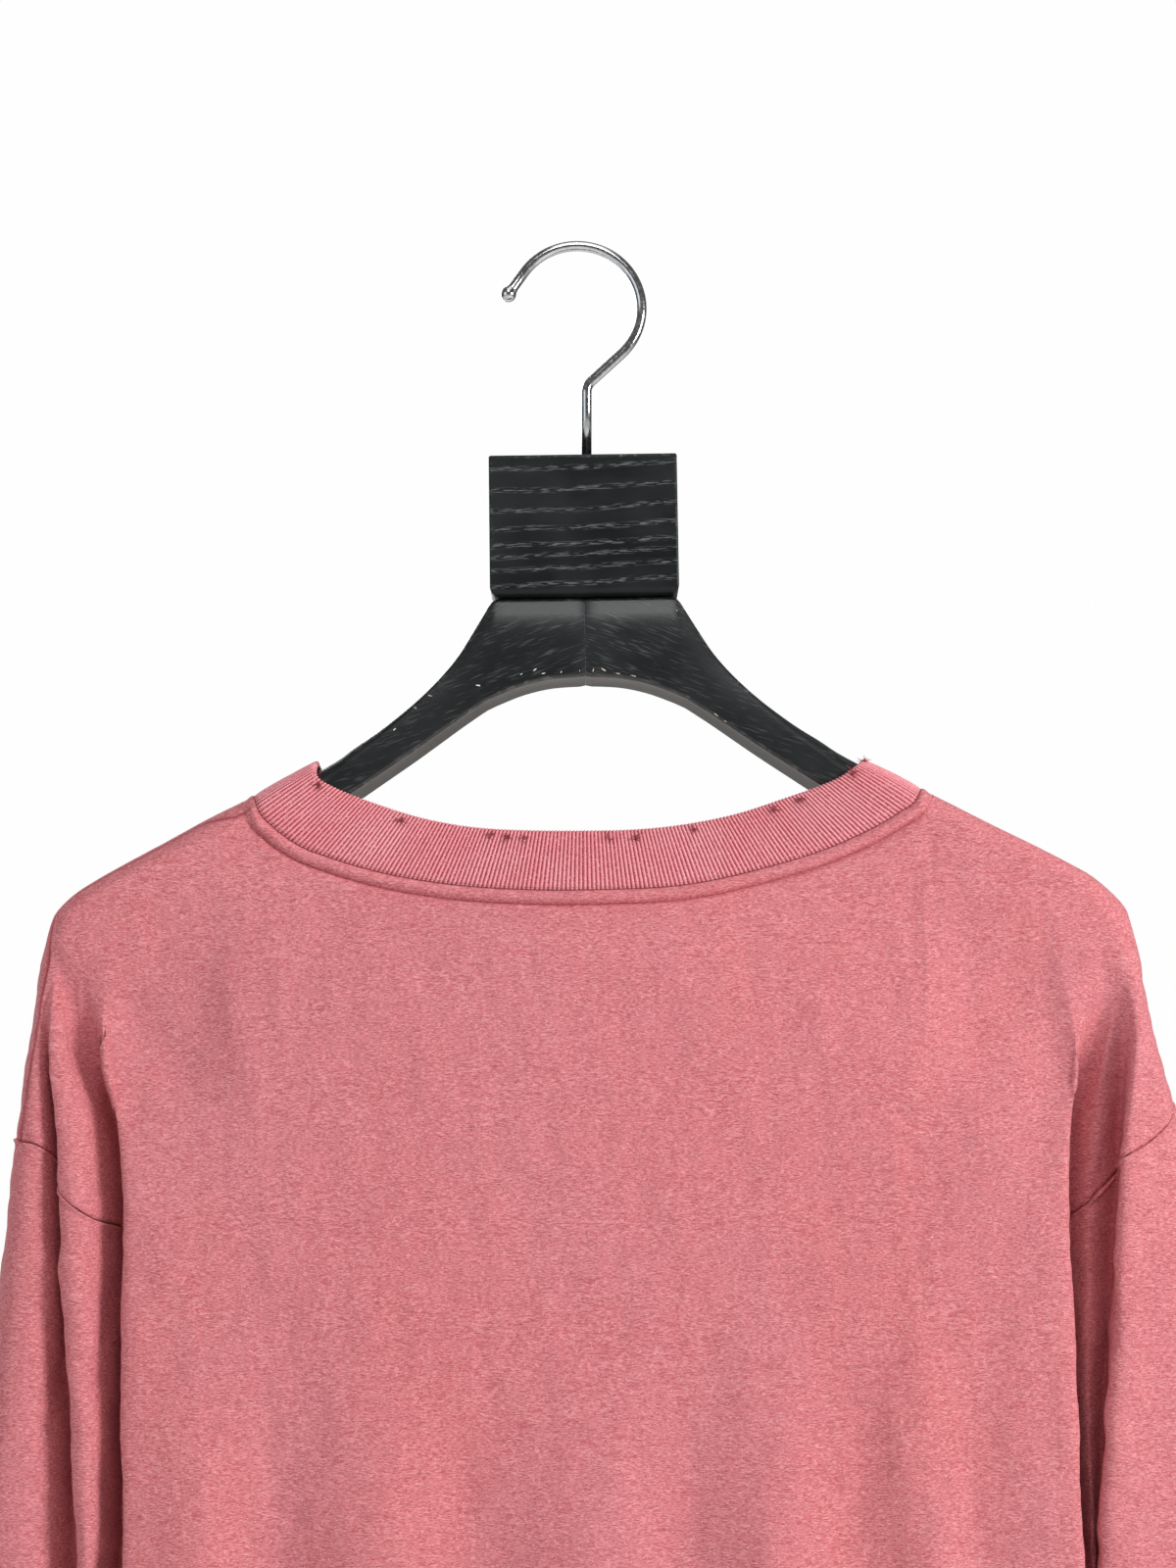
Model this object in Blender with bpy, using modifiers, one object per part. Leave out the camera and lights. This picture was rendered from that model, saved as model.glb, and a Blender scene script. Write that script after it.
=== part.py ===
"""A long-sleeve t-shirt hanging on a wooden hanger, back side forward.

Units below are millimetres, made metres where a mesh is built. +Z is up, the
back of the shirt faces -Y, and the origin is the inside top of the hook's bend.
"""

import math

import bmesh
import bpy
import numpy as np
from mathutils import Matrix, Vector

MM = 0.001
COLLECTION = "long_sleeve_tee_on_hanger"

# ---------------------------------------------------------------- garment sizes
CLOTH_WALL = 1.5
SEAM_GAP = 0.3
HALF_GAP = SEAM_GAP / 2
HEM_Z = -935.0
CUFF_Z = -896.0
HEM_TURN = 25.0
CUFF_TURN = 20.0
TURN_RAISE = 0.5
UNDERARM_Z = -430.0
UNDERARM_DEPTH = 3.8
UNDERARM_EASE = 8.0
UNDERARM_EASE_COLUMNS = (4.2, 6.0)

# High points of the shoulders, and where the shoulder seam reaches the arm tips.
NECK_POINT = {-1: (-124.4, -219.5), 1: (133.0, -216.8)}
SHOULDER_SLOPE = {-1: 0.5517, 1: 0.512}
# The shoulders bow up between the neck and SHOULDER_END, and fall away at the tips.
SHOULDER_BOW = {-1: 1.6, 1: 0.8}
SHOULDER_END = 205.0
TIP_START = {-1: 186.0, 1: 194.0}
TIP_FALL = 0.0145
SHOULDER_CLEAR = 2.4
ROLL_HEIGHT = 10.2
ROLL_TIP = 180.0
SETTLE = 120.0

# Back neck seam and top of the rib, left to right: across, height.
BACK_SEAM = (
    (-124.4, -219.5), (-121.8, -226.2), (-115.1, -233.9), (-105.6, -240.6),
    (-93.6, -245.3), (-78.0, -250.0), (-52.0, -255.0), (-25.7, -257.3),
    (9.8, -257.6), (41.6, -255.6), (71.1, -249.2), (103.2, -238.4),
    (122.8, -227.9), (129.8, -222.6), (133.0, -216.8),
)
FRONT_SEAM = (
    (-124.4, -219.5), (-122.4, -227.0), (-119.0, -240.0), (-109.0, -263.0),
    (-90.0, -286.0), (-60.0, -304.0), (-28.0, -311.5), (4.3, -313.5),
    (37.0, -311.0), (69.0, -303.0), (99.0, -284.5), (118.0, -261.0),
    (127.6, -238.0), (131.0, -225.0), (133.0, -216.8),
)
BACK_RIB_TOP = (
    (-101.0, -205.6), (-99.5, -213.3), (-94.0, -217.4), (-80.3, -223.0),
    (-55.0, -230.7), (-25.9, -234.4), (21.6, -234.4), (55.3, -229.6),
    (81.2, -221.6), (98.5, -215.2), (106.0, -210.4), (111.5, -205.4),
)
FRONT_RIB_TOP = (
    (-101.0, -205.6), (-99.2, -213.0), (-96.0, -226.0), (-88.0, -246.0),
    (-72.0, -266.0), (-48.0, -281.5), (-23.0, -288.0), (4.3, -290.0),
    (32.0, -287.5), (57.0, -280.5), (80.0, -264.5), (96.0, -244.5),
    (105.0, -225.0), (109.2, -212.0), (111.5, -205.4),
)
RIBS = 368
RIB_RAISE = 0.45
RIB_WALL = 1.5
RIDGE_RAISE = 0.8

# The sides hang in folds that fan out from the arm tips. Each row is one fold
# line, from the outline inwards: how far out and how deep it lies at HEIGHTS.
HEIGHTS = (-262.0, -300.0, -350.0, -430.0, -510.0, -650.0, -800.0, -935.0)
LEFT_FOLDS = (
    # name, out, depth, height of the sleeve seam
    ("outer", (203.8, 208.6, 213.6, 220.5, 226.8, 230.0, 229.0, 226.0),
     (0.0, 0.0, 0.0, 0.0, 0.0, 0.0, 0.0, 0.0), -350.4),
    ("crest", (202.0, 205.5, 209.5, 213.0, 217.0, 220.0, 219.0, 216.0),
     (9.0, 13.0, 18.0, 21.0, 22.0, 22.0, 20.0, 17.0), -352.0),
    ("band", (200.0, 203.5, 201.0, 198.5, 197.0, 199.0, 200.0, 200.0),
     (12.0, 17.0, 21.0, 22.0, 22.0, 21.0, 19.0, 16.0), -354.0),
    ("gully", (198.0, 200.5, 195.5, 191.0, 186.5, 188.0, 189.5, 190.0),
     (14.5, 13.5, 9.0, 6.0, 5.0, 5.0, 6.0, 7.0), -362.0),
    ("ridge", (196.5, 200.8, 194.3, 188.5, 182.0, 182.0, 184.0, 186.0),
     (17.0, 21.0, 25.0, 26.0, 26.0, 25.0, 22.0, 19.0), -371.0),
    ("middle", (194.0, 193.0, 183.5, 178.5, 174.5, 174.5, 177.0, 179.0),
     (18.5, 20.0, 24.0, 26.0, 27.0, 26.0, 24.0, 21.0), -380.0),
    ("valley", (191.5, 188.5, 173.6, 170.0, 168.0, 168.0, 170.0, 172.0),
     (19.0, 14.0, 6.0, UNDERARM_DEPTH, 0.0, 0.0, 0.0, 0.0), UNDERARM_Z),
    ("edge", (189.0, 185.5, 171.0, 168.0, 165.8, 166.0, 168.0, 170.0),
     (19.5, 21.0, 25.0, 29.0, 33.0, 36.0, 38.0, 38.0), UNDERARM_Z),
)
RIGHT_FOLDS = (
    ("outer", (215.0, 219.8, 230.0, 238.5, 244.0, 247.0, 246.0, 242.0),
     (0.0, 0.0, 0.0, 0.0, 0.0, 0.0, 0.0, 0.0), -336.0),
    ("crest", (213.0, 217.0, 225.0, 231.0, 234.0, 237.0, 236.0, 232.0),
     (9.0, 14.0, 19.0, 22.0, 23.0, 23.0, 21.0, 18.0), -343.0),
    ("band", (209.5, 213.5, 213.0, 212.0, 212.0, 214.0, 216.0, 216.0),
     (13.0, 20.0, 25.0, 28.0, 29.0, 28.0, 25.0, 21.0), -353.0),
    ("ridge", (204.5, 210.8, 204.5, 197.7, 191.5, 192.5, 195.0, 198.0),
     (16.0, 21.0, 26.0, 29.0, 30.0, 29.0, 26.0, 22.0), -358.0),
    ("gully", (202.0, 208.6, 206.5, 200.5, 195.5, 196.5, 198.5, 201.0),
     (17.0, 12.0, 7.0, 5.0, 5.0, 6.0, 7.0, 8.0), -363.0),
    ("middle", (199.5, 202.5, 196.0, 191.8, 190.8, 191.0, 192.5, 194.0),
     (18.0, 14.0, 12.0, 11.0, 11.0, 12.0, 13.0, 13.0), -374.0),
    ("valley", (197.0, 197.5, 187.4, 186.2, 187.6, 188.5, 190.0, 191.0),
     (19.0, 13.0, 6.0, UNDERARM_DEPTH, 0.0, 0.0, 0.0, 0.0), UNDERARM_Z),
    ("edge", (193.0, 193.0, 184.2, 183.8, 185.8, 187.0, 189.0, 190.0),
     (19.5, 21.0, 26.0, 31.0, 35.0, 38.0, 40.0, 40.0), UNDERARM_Z),
)
FOLDS = {-1: LEFT_FOLDS, 1: RIGHT_FOLDS}
VALLEY, EDGE = 6, 7
# How far past the edge line, inwards and deeper, the side's surface heads.
PAST_EDGE = (9.0, 0.6)
# The front hangs in like folds, a little fuller: how far each line moves.
FRONT_SHIFT = (0.0, 1.5, -3.0, 2.5, -2.0, 1.0, 0.0, 3.0)
FRONT_FULLER = 1.12
SLEEVE_CLEAR = 3.2
SLEEVE_CLEAR_COLUMNS = (4.0, 6.0)
UNDERARM_CLEAR = 1.2
UNDERARM_CLEAR_COLUMNS = (5.0, 6.0)
SLEEVE_MIDDLE = 203.0
# Below the underarm the body's sides fold in, with the side seam innermost.
SIDE_FOLD_IN = 60.0
SIDE_FOLD_GROWS = 230.0

# Soft upright folds of the body: across at the frame's foot, across at the
# hem, how far it stands out (in, when negative), half width, where it starts.
BACK_BODY_FOLDS = (
    (-139.6, -136.0, 4.5, 18.0, -380.0), (-108.4, -103.0, -5.0, 20.0, -390.0),
    (-72.4, -66.0, 5.0, 22.0, -400.0), (-36.7, -31.0, -5.0, 22.0, -410.0),
    (2.6, 8.0, 5.0, 22.0, -420.0), (40.1, 46.0, -5.5, 20.0, -410.0),
    (72.3, 80.0, 5.0, 19.0, -400.0), (101.9, 110.0, -5.0, 17.0, -390.0),
    (126.9, 135.0, 4.0, 14.0, -390.0), (148.5, 156.0, -3.5, 12.0, -380.0),
)
FRONT_BODY_FOLDS = (
    (-140.0, -136.0, -5.0, 20.0, -380.0), (-104.0, -98.0, 5.0, 22.0, -390.0),
    (-66.0, -62.0, -5.5, 22.0, -410.0), (-26.0, -20.0, 5.0, 24.0, -420.0),
    (14.0, 22.0, -5.5, 24.0, -430.0), (58.0, 66.0, 5.0, 22.0, -410.0),
    (98.0, 106.0, -5.0, 22.0, -390.0), (138.0, 146.0, 4.5, 20.0, -380.0),
)
FOLD_FOOT_Z = -507.0
FOLD_GROWS = 130.0
FOLD_SHARPNESS = 1.4
# Powers of the column's place: how late the body turns to its edges, and how
# late its folds fade before them.
EDGE_POWER = 6
FADE_POWER = 12
BACK_FULL = ((-200.0, 20.0), (-430.0, 29.0), (-510.0, 33.0), (-700.0, 38.0), (-935.0, 41.0))
FRONT_FULL = ((-200.0, 20.0), (-430.0, 32.0), (-510.0, 37.0), (-700.0, 43.0), (-935.0, 46.0))

# Where the grids have their columns and rows.
SIDE_COLUMNS = (0.0, 0.07, 0.35, 0.7, 1.0, 1.5, 2.0, 2.5, 3.0, 3.5, 4.0, 4.5, 5.0, 5.5, 6.0)
GUSSET_COLUMNS = (6.0, 6.35, 6.7, 7.0)
SHOULDER_STEPS = 4
NECK_STEPS = 16
NECK_END_SHARE = 0.35
NECK_CORNER = (0.3, 0.9, 1.8, 3.2)
TOP_DROPS = (0.0, 0.06, 1.3, 3.9, 6.4, 11.0)
NECK_DROPS = (0.0, 0.7, 1.7, 4.3, 6.4, 11.0)
UPPER_ROWS = (0.16, 0.33, 0.54, 0.77, 1.0)
BODY_ROWS = (-472.0, -522.0, -585.0, -665.0, -755.0, -840.0)
SLEEVE_ROWS = (0.0, 0.06, 0.13, 0.22, 0.33, 0.46, 0.6, 0.74, 0.87)
TURN_STEP = 0.6
RIB_TOP_SAMPLES = 1200
SHARP_ANGLE = math.radians(50)

# ----------------------------------------------------------------- hanger sizes
AXIS_X = 2.3
TILT = math.radians(0.8)
BLOCK_SIZE = (73.4, 29.0, 55.6)
BLOCK_TOP = -86.6
BLOCK_BEVEL = 0.9
BLOCK_FOOT_ROUND = 3.6
BLOCK_EDGE_ANGLE = math.radians(60)
MITRE_GAP = 0.15
# Arm sections: from the middle out, top, foot, half depth, top rounding in depth and height.
ARM = (
    (0.0, -142.6, -174.3, 12.3, 2.0, 2.0), (13.0, -142.6, -175.0, 12.3, 2.0, 2.0),
    (24.0, -142.6, -177.4, 12.3, 2.0, 2.0), (33.5, -142.6, -181.0, 12.3, 2.0, 2.0),
    (36.6, -144.2, -182.4, 12.3, 2.0, 2.0), (39.4, -148.6, -183.8, 12.3, 2.0, 2.0),
    (44.2, -156.6, -187.0, 12.4, 2.0, 2.0), (49.5, -165.0, -190.6, 12.6, 2.2, 2.2),
    (56.8, -173.8, -195.8, 13.0, 2.6, 2.6), (67.0, -183.6, -203.0, 13.5, 3.6, 3.4),
    (79.5, -193.1, -211.4, 14.2, 6.5, 5.0), (90.0, -199.4, -218.4, 14.8, 11.0, 6.5),
    (100.7, -205.9, -225.2, 15.2, 15.2, 8.0), (127.0, -219.9, -239.4, 16.6, 16.6, 8.0),
    (155.0, -234.8, -254.0, 17.6, 17.6, 8.0), (180.0, -248.1, -266.6, 17.4, 17.4, 8.0),
    (191.0, -254.4, -271.6, 15.0, 15.0, 7.6), (197.0, -258.8, -273.4, 10.8, 10.8, 6.6),
    (200.0, -262.6, -272.8, 6.0, 6.0, 4.6),
)
ARM_FOOT_ROUND = 2.0
CORNER_POINTS = 4
RING_MERGE = 0.02
MERGE = 0.01
WIRE_RADIUS = 2.0
HOOK_RADIUS = 25.7
HOOK_OPEN_ANGLE = 145.0
HOOK_LEAVE_ANGLE = -47.0
HOOK_STUB = 10.9
HOOK_BALL = 3.1
HOOK_BALL_STEPS = 9
HOOK_BALL_TIP = 0.4
HOOK_NECK = 1.15
HOOK_TURNS = 22
SHANK_X = 3.8
SHANK_BEND = 6.0
SHANK_TURNS = 5

# name: colour, roughness, metallic
FINISHES = {
    "pink_jersey": ((0.72, 0.21, 0.24, 1.0), 0.95, 0.0),
    "pink_rib": ((0.70, 0.20, 0.23, 1.0), 0.95, 0.0),
    "black_ash": ((0.018, 0.020, 0.023, 1.0), 0.45, 0.0),
    "chrome_wire": ((0.60, 0.60, 0.61, 1.0), 0.14, 1.0),
}


# -------------------------------------------------------------------- formulas
def soft(t):
    """Runs from 0 to 1 with a gentle start and end."""
    t = np.clip(t, 0.0, 1.0)
    return t * t * (3.0 - 2.0 * t)


def ramp(value, start, end):
    """Runs gently from 0 at start to 1 at end."""
    return soft((value - start) / (end - start))


def curve(knots, values, at):
    """A smooth curve through values at rising knots, level past its ends."""
    knots = np.asarray(knots, float)
    values = np.asarray(values, float)
    slopes = np.gradient(values, knots)
    at = np.clip(at, knots[0], knots[-1])
    i = np.clip(np.searchsorted(knots, at) - 1, 0, len(knots) - 2)
    span = knots[i + 1] - knots[i]
    t = (at - knots[i]) / span
    near = (2 * t**3 - 3 * t**2 + 1) * values[i] + (t**3 - 2 * t**2 + t) * span * slopes[i]
    far = (3 * t**2 - 2 * t**3) * values[i + 1] + (t**3 - t**2) * span * slopes[i + 1]
    return near + far


def by_height(values, z):
    """A fold table's value at each height."""
    return curve(HEIGHTS[::-1], values[::-1], z)


def catmull(points, u):
    """A smooth line through points, at place u counted in points."""
    i = int(min(math.floor(u), len(points) - 2))
    t = u - i
    a, b = points[max(i - 1, 0)], points[i]
    c, d = points[i + 1], points[min(i + 2, len(points) - 1)]
    return 0.5 * (
        2 * b + (c - a) * t + (2 * a - 5 * b + 4 * c - d) * t * t
        + (3 * b - a - 3 * c + d) * t**3
    )


def ridge_z(x):
    """Height of the shoulder line over x, also inside the neck opening."""
    left = x < AXIS_X

    def by_side(table):
        return np.where(left, table[-1], table[1])

    neck_x, neck_z = (np.where(left, *(NECK_POINT[side][k] for side in (-1, 1))) for k in (0, 1))
    past_neck = np.abs(x) - np.abs(neck_x)
    share = np.clip(past_neck / (SHOULDER_END - np.abs(neck_x)), 0.0, 1.0)
    bow = 4.0 * share * (1.0 - share) * by_side(SHOULDER_BOW)
    fall = np.maximum(np.abs(x) - by_side(TIP_START), 0.0) ** 2 * TIP_FALL
    return neck_z - past_neck * by_side(SHOULDER_SLOPE) + bow - fall


def roll_depth(x):
    """How deep the cloth lies once it has rolled over the hanger's arm."""
    out = np.minimum(np.abs(x - AXIS_X), ROLL_TIP)
    return curve([row[0] for row in ARM], [row[3] for row in ARM], out) + SHOULDER_CLEAR


def roll(drop):
    """0 on the shoulder line, 1 where the cloth hangs clear below the arm."""
    t = np.clip(drop / ROLL_HEIGHT, 0.0, 1.0)
    return np.sqrt(1.0 - (1.0 - t) ** 2)


def body_folds(folds, x, z):
    """How far the upright folds stand out from the body at a place."""
    total = np.zeros_like(x)
    for foot_x, hem_x, height, half_width, start_z in folds:
        t = (z - FOLD_FOOT_Z) / (HEM_Z - FOLD_FOOT_Z)
        middle = foot_x + (hem_x - foot_x) * t
        grown = soft((start_z - z) / FOLD_GROWS)
        total += height * grown * np.exp(-(((x - middle) / half_width) ** 2) * FOLD_SHARPNESS)
    return total


class Face:
    """The cloth's outer surface on one face of the shirt: sign -1 is the back."""

    def __init__(self, sign):
        self.sign = sign
        self.folds = BACK_BODY_FOLDS if sign < 0 else FRONT_BODY_FOLDS
        self.full = BACK_FULL if sign < 0 else FRONT_FULL

    def line(self, side, index, z):
        """(out, depth) of one fold line at height z."""
        _, out, depth, _ = FOLDS[side][index]
        out, depth = by_height(out, z), by_height(depth, z)
        if self.sign > 0:
            hung = soft((HEIGHTS[0] - z) / SETTLE)
            out = out + FRONT_SHIFT[index] * hung
            depth = depth * (1.0 + (FRONT_FULLER - 1.0) * hung)
        return out, np.maximum(depth, 0.0)

    def neck_seam(self, x):
        """Height of this face's neck seam over x."""
        return curve(*zip(*(BACK_SEAM if self.sign < 0 else FRONT_SEAM)), x)

    def top(self, x):
        """Height of the panel's upper edge over x."""
        in_neck = (x > NECK_POINT[-1][0]) & (x < NECK_POINT[1][0])
        return np.where(in_neck, self.neck_seam(x), ridge_z(x))

    def body_x(self, s, z):
        """Place across of the body's column s, from -1 to 1, at height z."""
        left, _ = self.line(-1, EDGE, z)
        right, _ = self.line(1, EDGE, z)
        return -left + (left + right) * (s + 1) / 2

    def body_depth(self, x, s, z):
        """Depth of the body at a place, 0 on the shoulder line."""
        zs, full = zip(*self.full[::-1])
        middle = curve(zs, full, z)
        _, left = self.line(-1, EDGE, z)
        _, right = self.line(1, EDGE, z)
        edge = np.where(s < 0, left, right)
        low = middle + (edge - middle) * np.abs(s) ** EDGE_POWER
        low = low + body_folds(self.folds, x, z) * (1 - np.abs(s) ** FADE_POWER)
        near = roll_depth(x)
        drop = ridge_z(x) - z
        return (near + (low - near) * soft(drop / SETTLE)) * roll(drop)

    def body_point(self, s, z, raised=0.0):
        """Outer surface of the body at column s and height z."""
        x = self.body_x(s, z)
        depth = self.body_depth(x, s, z) + HALF_GAP + raised
        return np.array((x, self.sign * depth, z))

    def side_point(self, side, u, z, top_z):
        """Outer surface at place u of the side's fold lines and height z."""
        lines = [self.line(side, index, z) for index in range(len(FOLDS[side]))]
        inner = lines[EDGE][0] - PAST_EDGE[0], lines[EDGE][1] + PAST_EDGE[1]
        mirrored = lines[1][0], -lines[1][1]
        points = [np.array(line) for line in (mirrored, *lines, inner)]
        out, depth = catmull(points, u + 1)
        depth = max(float(depth), 0.0) * float(roll(top_z - z)) + HALF_GAP
        return np.array((side * out, self.sign * depth, z))


def side_top(side, u):
    """Height where the side's column u leaves the shoulder line."""
    face = Face(-1)
    points = [np.array(face.line(side, i, HEIGHTS[0])) for i in range(len(FOLDS[side]))]
    out = catmull(points, min(u, EDGE))[0]
    return float(ridge_z(np.array(side * out)))


def seam_z(side, u):
    """Height of the sleeve seam at column u."""
    heights = [np.array((row[3],)) for row in FOLDS[side]]
    return float(catmull(heights, min(u, VALLEY))[0])


# -------------------------------------------------------------------- meshes
def finish(name):
    """The named finish as a material."""
    material = bpy.data.materials.get(name) or bpy.data.materials.new(name)
    colour, roughness, metallic = FINISHES[name]
    material.use_nodes = True
    shader = material.node_tree.nodes["Principled BSDF"]
    shader.inputs["Base Color"].default_value = colour
    shader.inputs["Roughness"].default_value = roughness
    shader.inputs["Metallic"].default_value = metallic
    material.diffuse_color = colour
    return material


def add(name, mesh, finish_name):
    """Puts a mesh in the scene as one named piece."""
    mesh.name = name
    mesh.materials.append(finish(finish_name))
    mesh.shade_smooth()
    mesh.set_sharp_from_angle(angle=SHARP_ANGLE)
    piece = bpy.data.objects.new(name, mesh)
    bpy.data.collections[COLLECTION].objects.link(piece)
    return piece


def mesh_from(points, faces):
    """A mesh in metres from points in millimetres."""
    mesh = bpy.data.meshes.new("mesh")
    mesh.from_pydata([tuple(float(v) * MM for v in p) for p in points], [], faces)
    mesh.validate()
    return mesh


def give_wall(piece, thickness):
    """Thickens an open surface inwards."""
    wall = piece.modifiers.new("wall", "SOLIDIFY")
    wall.thickness = thickness * MM
    wall.offset = -1.0
    wall.use_quality_normals = True


def strip_faces(upper, lower, flip):
    """Faces between two rows of (column, point number), where the lower may skip columns."""
    faces = []
    for (start, low_a), (end, low_b) in zip(lower, lower[1:]):
        between = [number for column, number in upper if start <= column <= end]
        face = [low_a, low_b, *between[::-1]]
        faces.append(face[::-1] if flip else face)
    return faces


def grid_faces(grid, flip):
    """Quads between neighbouring rows of point numbers, corners merged."""
    faces = []
    for upper, lower in zip(grid, grid[1:]):
        for i in range(len(upper) - 1):
            quad = [upper[i], lower[i], lower[i + 1], upper[i + 1]]
            quad = [v for k, v in enumerate(quad) if v != quad[k - 1]]
            faces.append(quad[::-1] if flip else quad)
    return faces


def body_columns():
    """Column places across the body, denser where the neck seam turns down."""
    start, end = (Face(-1).body_x(np.array(s), HEIGHTS[0]) for s in (-1.0, 1.0))
    width = end - start
    left = 2 * (NECK_POINT[-1][0] - start) / width - 1
    right = 2 * (NECK_POINT[1][0] - start) / width - 1
    turns = [-math.cos(math.pi * i / NECK_STEPS) for i in range(NECK_STEPS + 1)]
    even = [2 * i / NECK_STEPS - 1 for i in range(NECK_STEPS + 1)]
    mixed = [b + NECK_END_SHARE * (a - b) for a, b in zip(turns, even)]
    neck = [left + (right - left) * (place + 1) / 2 for place in mixed]
    corner = [2 * step / width for step in NECK_CORNER]
    corner_left = [left + c for c in corner]
    corner_right = [right - c for c in corner[::-1]]
    neck = neck[:1] + corner_left + neck[1:-1] + corner_right + neck[-1:]
    outer_left = [-1 + (left + 1) * i / SHOULDER_STEPS for i in range(SHOULDER_STEPS)]
    outer_right = [1 + (right - 1) * i / SHOULDER_STEPS for i in range(SHOULDER_STEPS)][::-1]
    return outer_left + neck + outer_right


def column_heights(top_z, foot_z, at_neck=False):
    """Row heights from the upper edge down to the underarm's level or the sleeve seam."""
    drops = NECK_DROPS if at_neck else TOP_DROPS
    rest = top_z - foot_z - drops[-1]
    return [top_z - d for d in drops] + [top_z - drops[-1] - rest * f for f in UPPER_ROWS]


def hem_rows(foot_z, turn):
    """The last rows above a turned edge, as (height, raised)."""
    return [(foot_z + turn + TURN_STEP, 0.0), (foot_z + turn, TURN_RAISE), (foot_z, TURN_RAISE)]


def make_panel(name, sign):
    """The back or front: body and both shoulders' sides, down to the hem."""
    face = Face(sign)
    points = []

    def put(point):
        points.append(point)
        return len(points) - 1

    columns = body_columns()
    tops = [float(face.top(face.body_x(np.array(s), HEIGHTS[0]))) for s in columns]
    ridges = [float(ridge_z(face.body_x(np.array(s), HEIGHTS[0]))) for s in columns]
    in_neck = [ridge - top > ROLL_HEIGHT for ridge, top in zip(ridges, tops)]
    heights = [column_heights(top, UNDERARM_Z, neck) for top, neck in zip(tops, in_neck)]
    count = len(heights[0])
    raise_rows = {2: RIDGE_RAISE, 3: RIDGE_RAISE}
    corner = len(NECK_CORNER)
    first, last = SHOULDER_STEPS, len(columns) - 1 - SHOULDER_STEPS
    skipped = {*range(first + 1, first + 1 + corner), *range(last - corner, last)}
    wide = [i for i in range(len(columns)) if i not in skipped]
    grid = []
    for row in range(count):
        numbers = []
        for i in (range(len(columns)) if row < len(TOP_DROPS) else wide):
            raised = raise_rows.get(row, 0.0) if in_neck[i] else 0.0
            point = face.body_point(np.array(columns[i]), heights[i][row], raised)
            numbers.append((i, put(point)))
        grid.append(numbers)
    lower = [(z, 0.0) for z in BODY_ROWS] + hem_rows(HEM_Z, HEM_TURN)
    for z, raised in lower:
        grid.append([(i, put(face.body_point(np.array(columns[i]), z, raised))) for i in wide])
    flip = sign > 0
    faces = []
    for upper, under in zip(grid, grid[1:]):
        faces += strip_faces(upper, under, flip)
    for side in (-1, 1):
        end = 0 if side < 0 else -1
        inward = [numbers[end][1] for numbers in grid]
        gusset = []
        for row in range(count):
            line = [inward[row]]
            for u in GUSSET_COLUMNS[-2::-1]:
                top_z = side_top(side, u)
                z = column_heights(top_z, UNDERARM_Z)[row]
                line.append(put(face.side_point(side, u, z, top_z)))
            gusset.append(line)
        for (z, raised), number in zip(lower, inward[count:]):
            line = [number]
            for u in GUSSET_COLUMNS[-2::-1]:
                point = face.side_point(side, u, z, side_top(side, u))
                fold_in = SIDE_FOLD_IN * ramp(z, UNDERARM_Z, UNDERARM_Z - SIDE_FOLD_GROWS)
                point[0] += side * (raised - float(fold_in) * (EDGE - u))
                line.append(put(point))
            gusset.append(line)
        faces += grid_faces(gusset, flip if side > 0 else not flip)
        wing = []
        for row in range(count):
            line = [gusset[row][-1]]
            for u in SIDE_COLUMNS[-2::-1]:
                top_z = side_top(side, u)
                z = column_heights(top_z, seam_z(side, u) + HALF_GAP)[row]
                line.append(put(face.side_point(side, u, z, top_z)))
            wing.append(line)
        faces += grid_faces(wing, flip if side > 0 else not flip)
    piece = add(name, mesh_from(points, faces), "pink_jersey")
    give_wall(piece, CLOTH_WALL)
    return piece


def make_sleeve(name, side):
    """One sleeve: a tube from the dropped armhole seam to the cuff."""
    ring = [(-1, u) for u in SIDE_COLUMNS] + [(1, u) for u in SIDE_COLUMNS[-2:0:-1]]
    rows = [(f, None) for f in SLEEVE_ROWS] + hem_rows(CUFF_Z, CUFF_TURN)
    points, grid = [], []
    for fraction, raised in rows:
        line = []
        for sign, u in ring:
            start = seam_z(side, u) - HALF_GAP
            start -= UNDERARM_EASE * float(ramp(u, *UNDERARM_EASE_COLUMNS))
            z = start + (CUFF_Z - start) * fraction if raised is None else fraction
            point = Face(sign).side_point(side, u, z, side_top(side, u))
            clear = SLEEVE_CLEAR * ramp(u, *SLEEVE_CLEAR_COLUMNS)
            clear *= ramp(z, UNDERARM_Z, UNDERARM_Z - SETTLE)
            clear += UNDERARM_CLEAR * ramp(u, *UNDERARM_CLEAR_COLUMNS)
            point[0] += side * float(clear)
            if u in (SIDE_COLUMNS[0], SIDE_COLUMNS[-1]):
                point[1] = 0.0
            if raised:
                middle = np.array((side * SLEEVE_MIDDLE, 0.0, z))
                away = point - middle
                point = point + away / np.linalg.norm(away) * raised
            line.append(len(points))
            points.append(point)
        grid.append(line + line[:1])
    piece = add(name, mesh_from(points, grid_faces(grid, side < 0)), "pink_jersey")
    give_wall(piece, CLOTH_WALL)
    return piece


# -------------------------------------------------------------------- neck rib
def resample(points, count):
    """Evenly spaced points along a line of straight runs."""
    points = np.array(points)
    length = np.concatenate([[0.0], np.cumsum(np.linalg.norm(np.diff(points, axis=0), axis=1))])
    at = np.linspace(0, length[-1], count)
    return np.stack([np.interp(at, length, points[:, k]) for k in range(3)], axis=1)


def band_point(sign, x, z):
    """A place on the smooth surface that carries on from the panels to the rib."""
    face = Face(sign)
    drop = ridge_z(x) - z
    zs, full = zip(*face.full[::-1])
    near = roll_depth(x)
    depth = (near + (curve(zs, full, z) - near) * soft(drop / SETTLE)) * roll(drop)
    return np.array((x, sign * depth, z))


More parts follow.
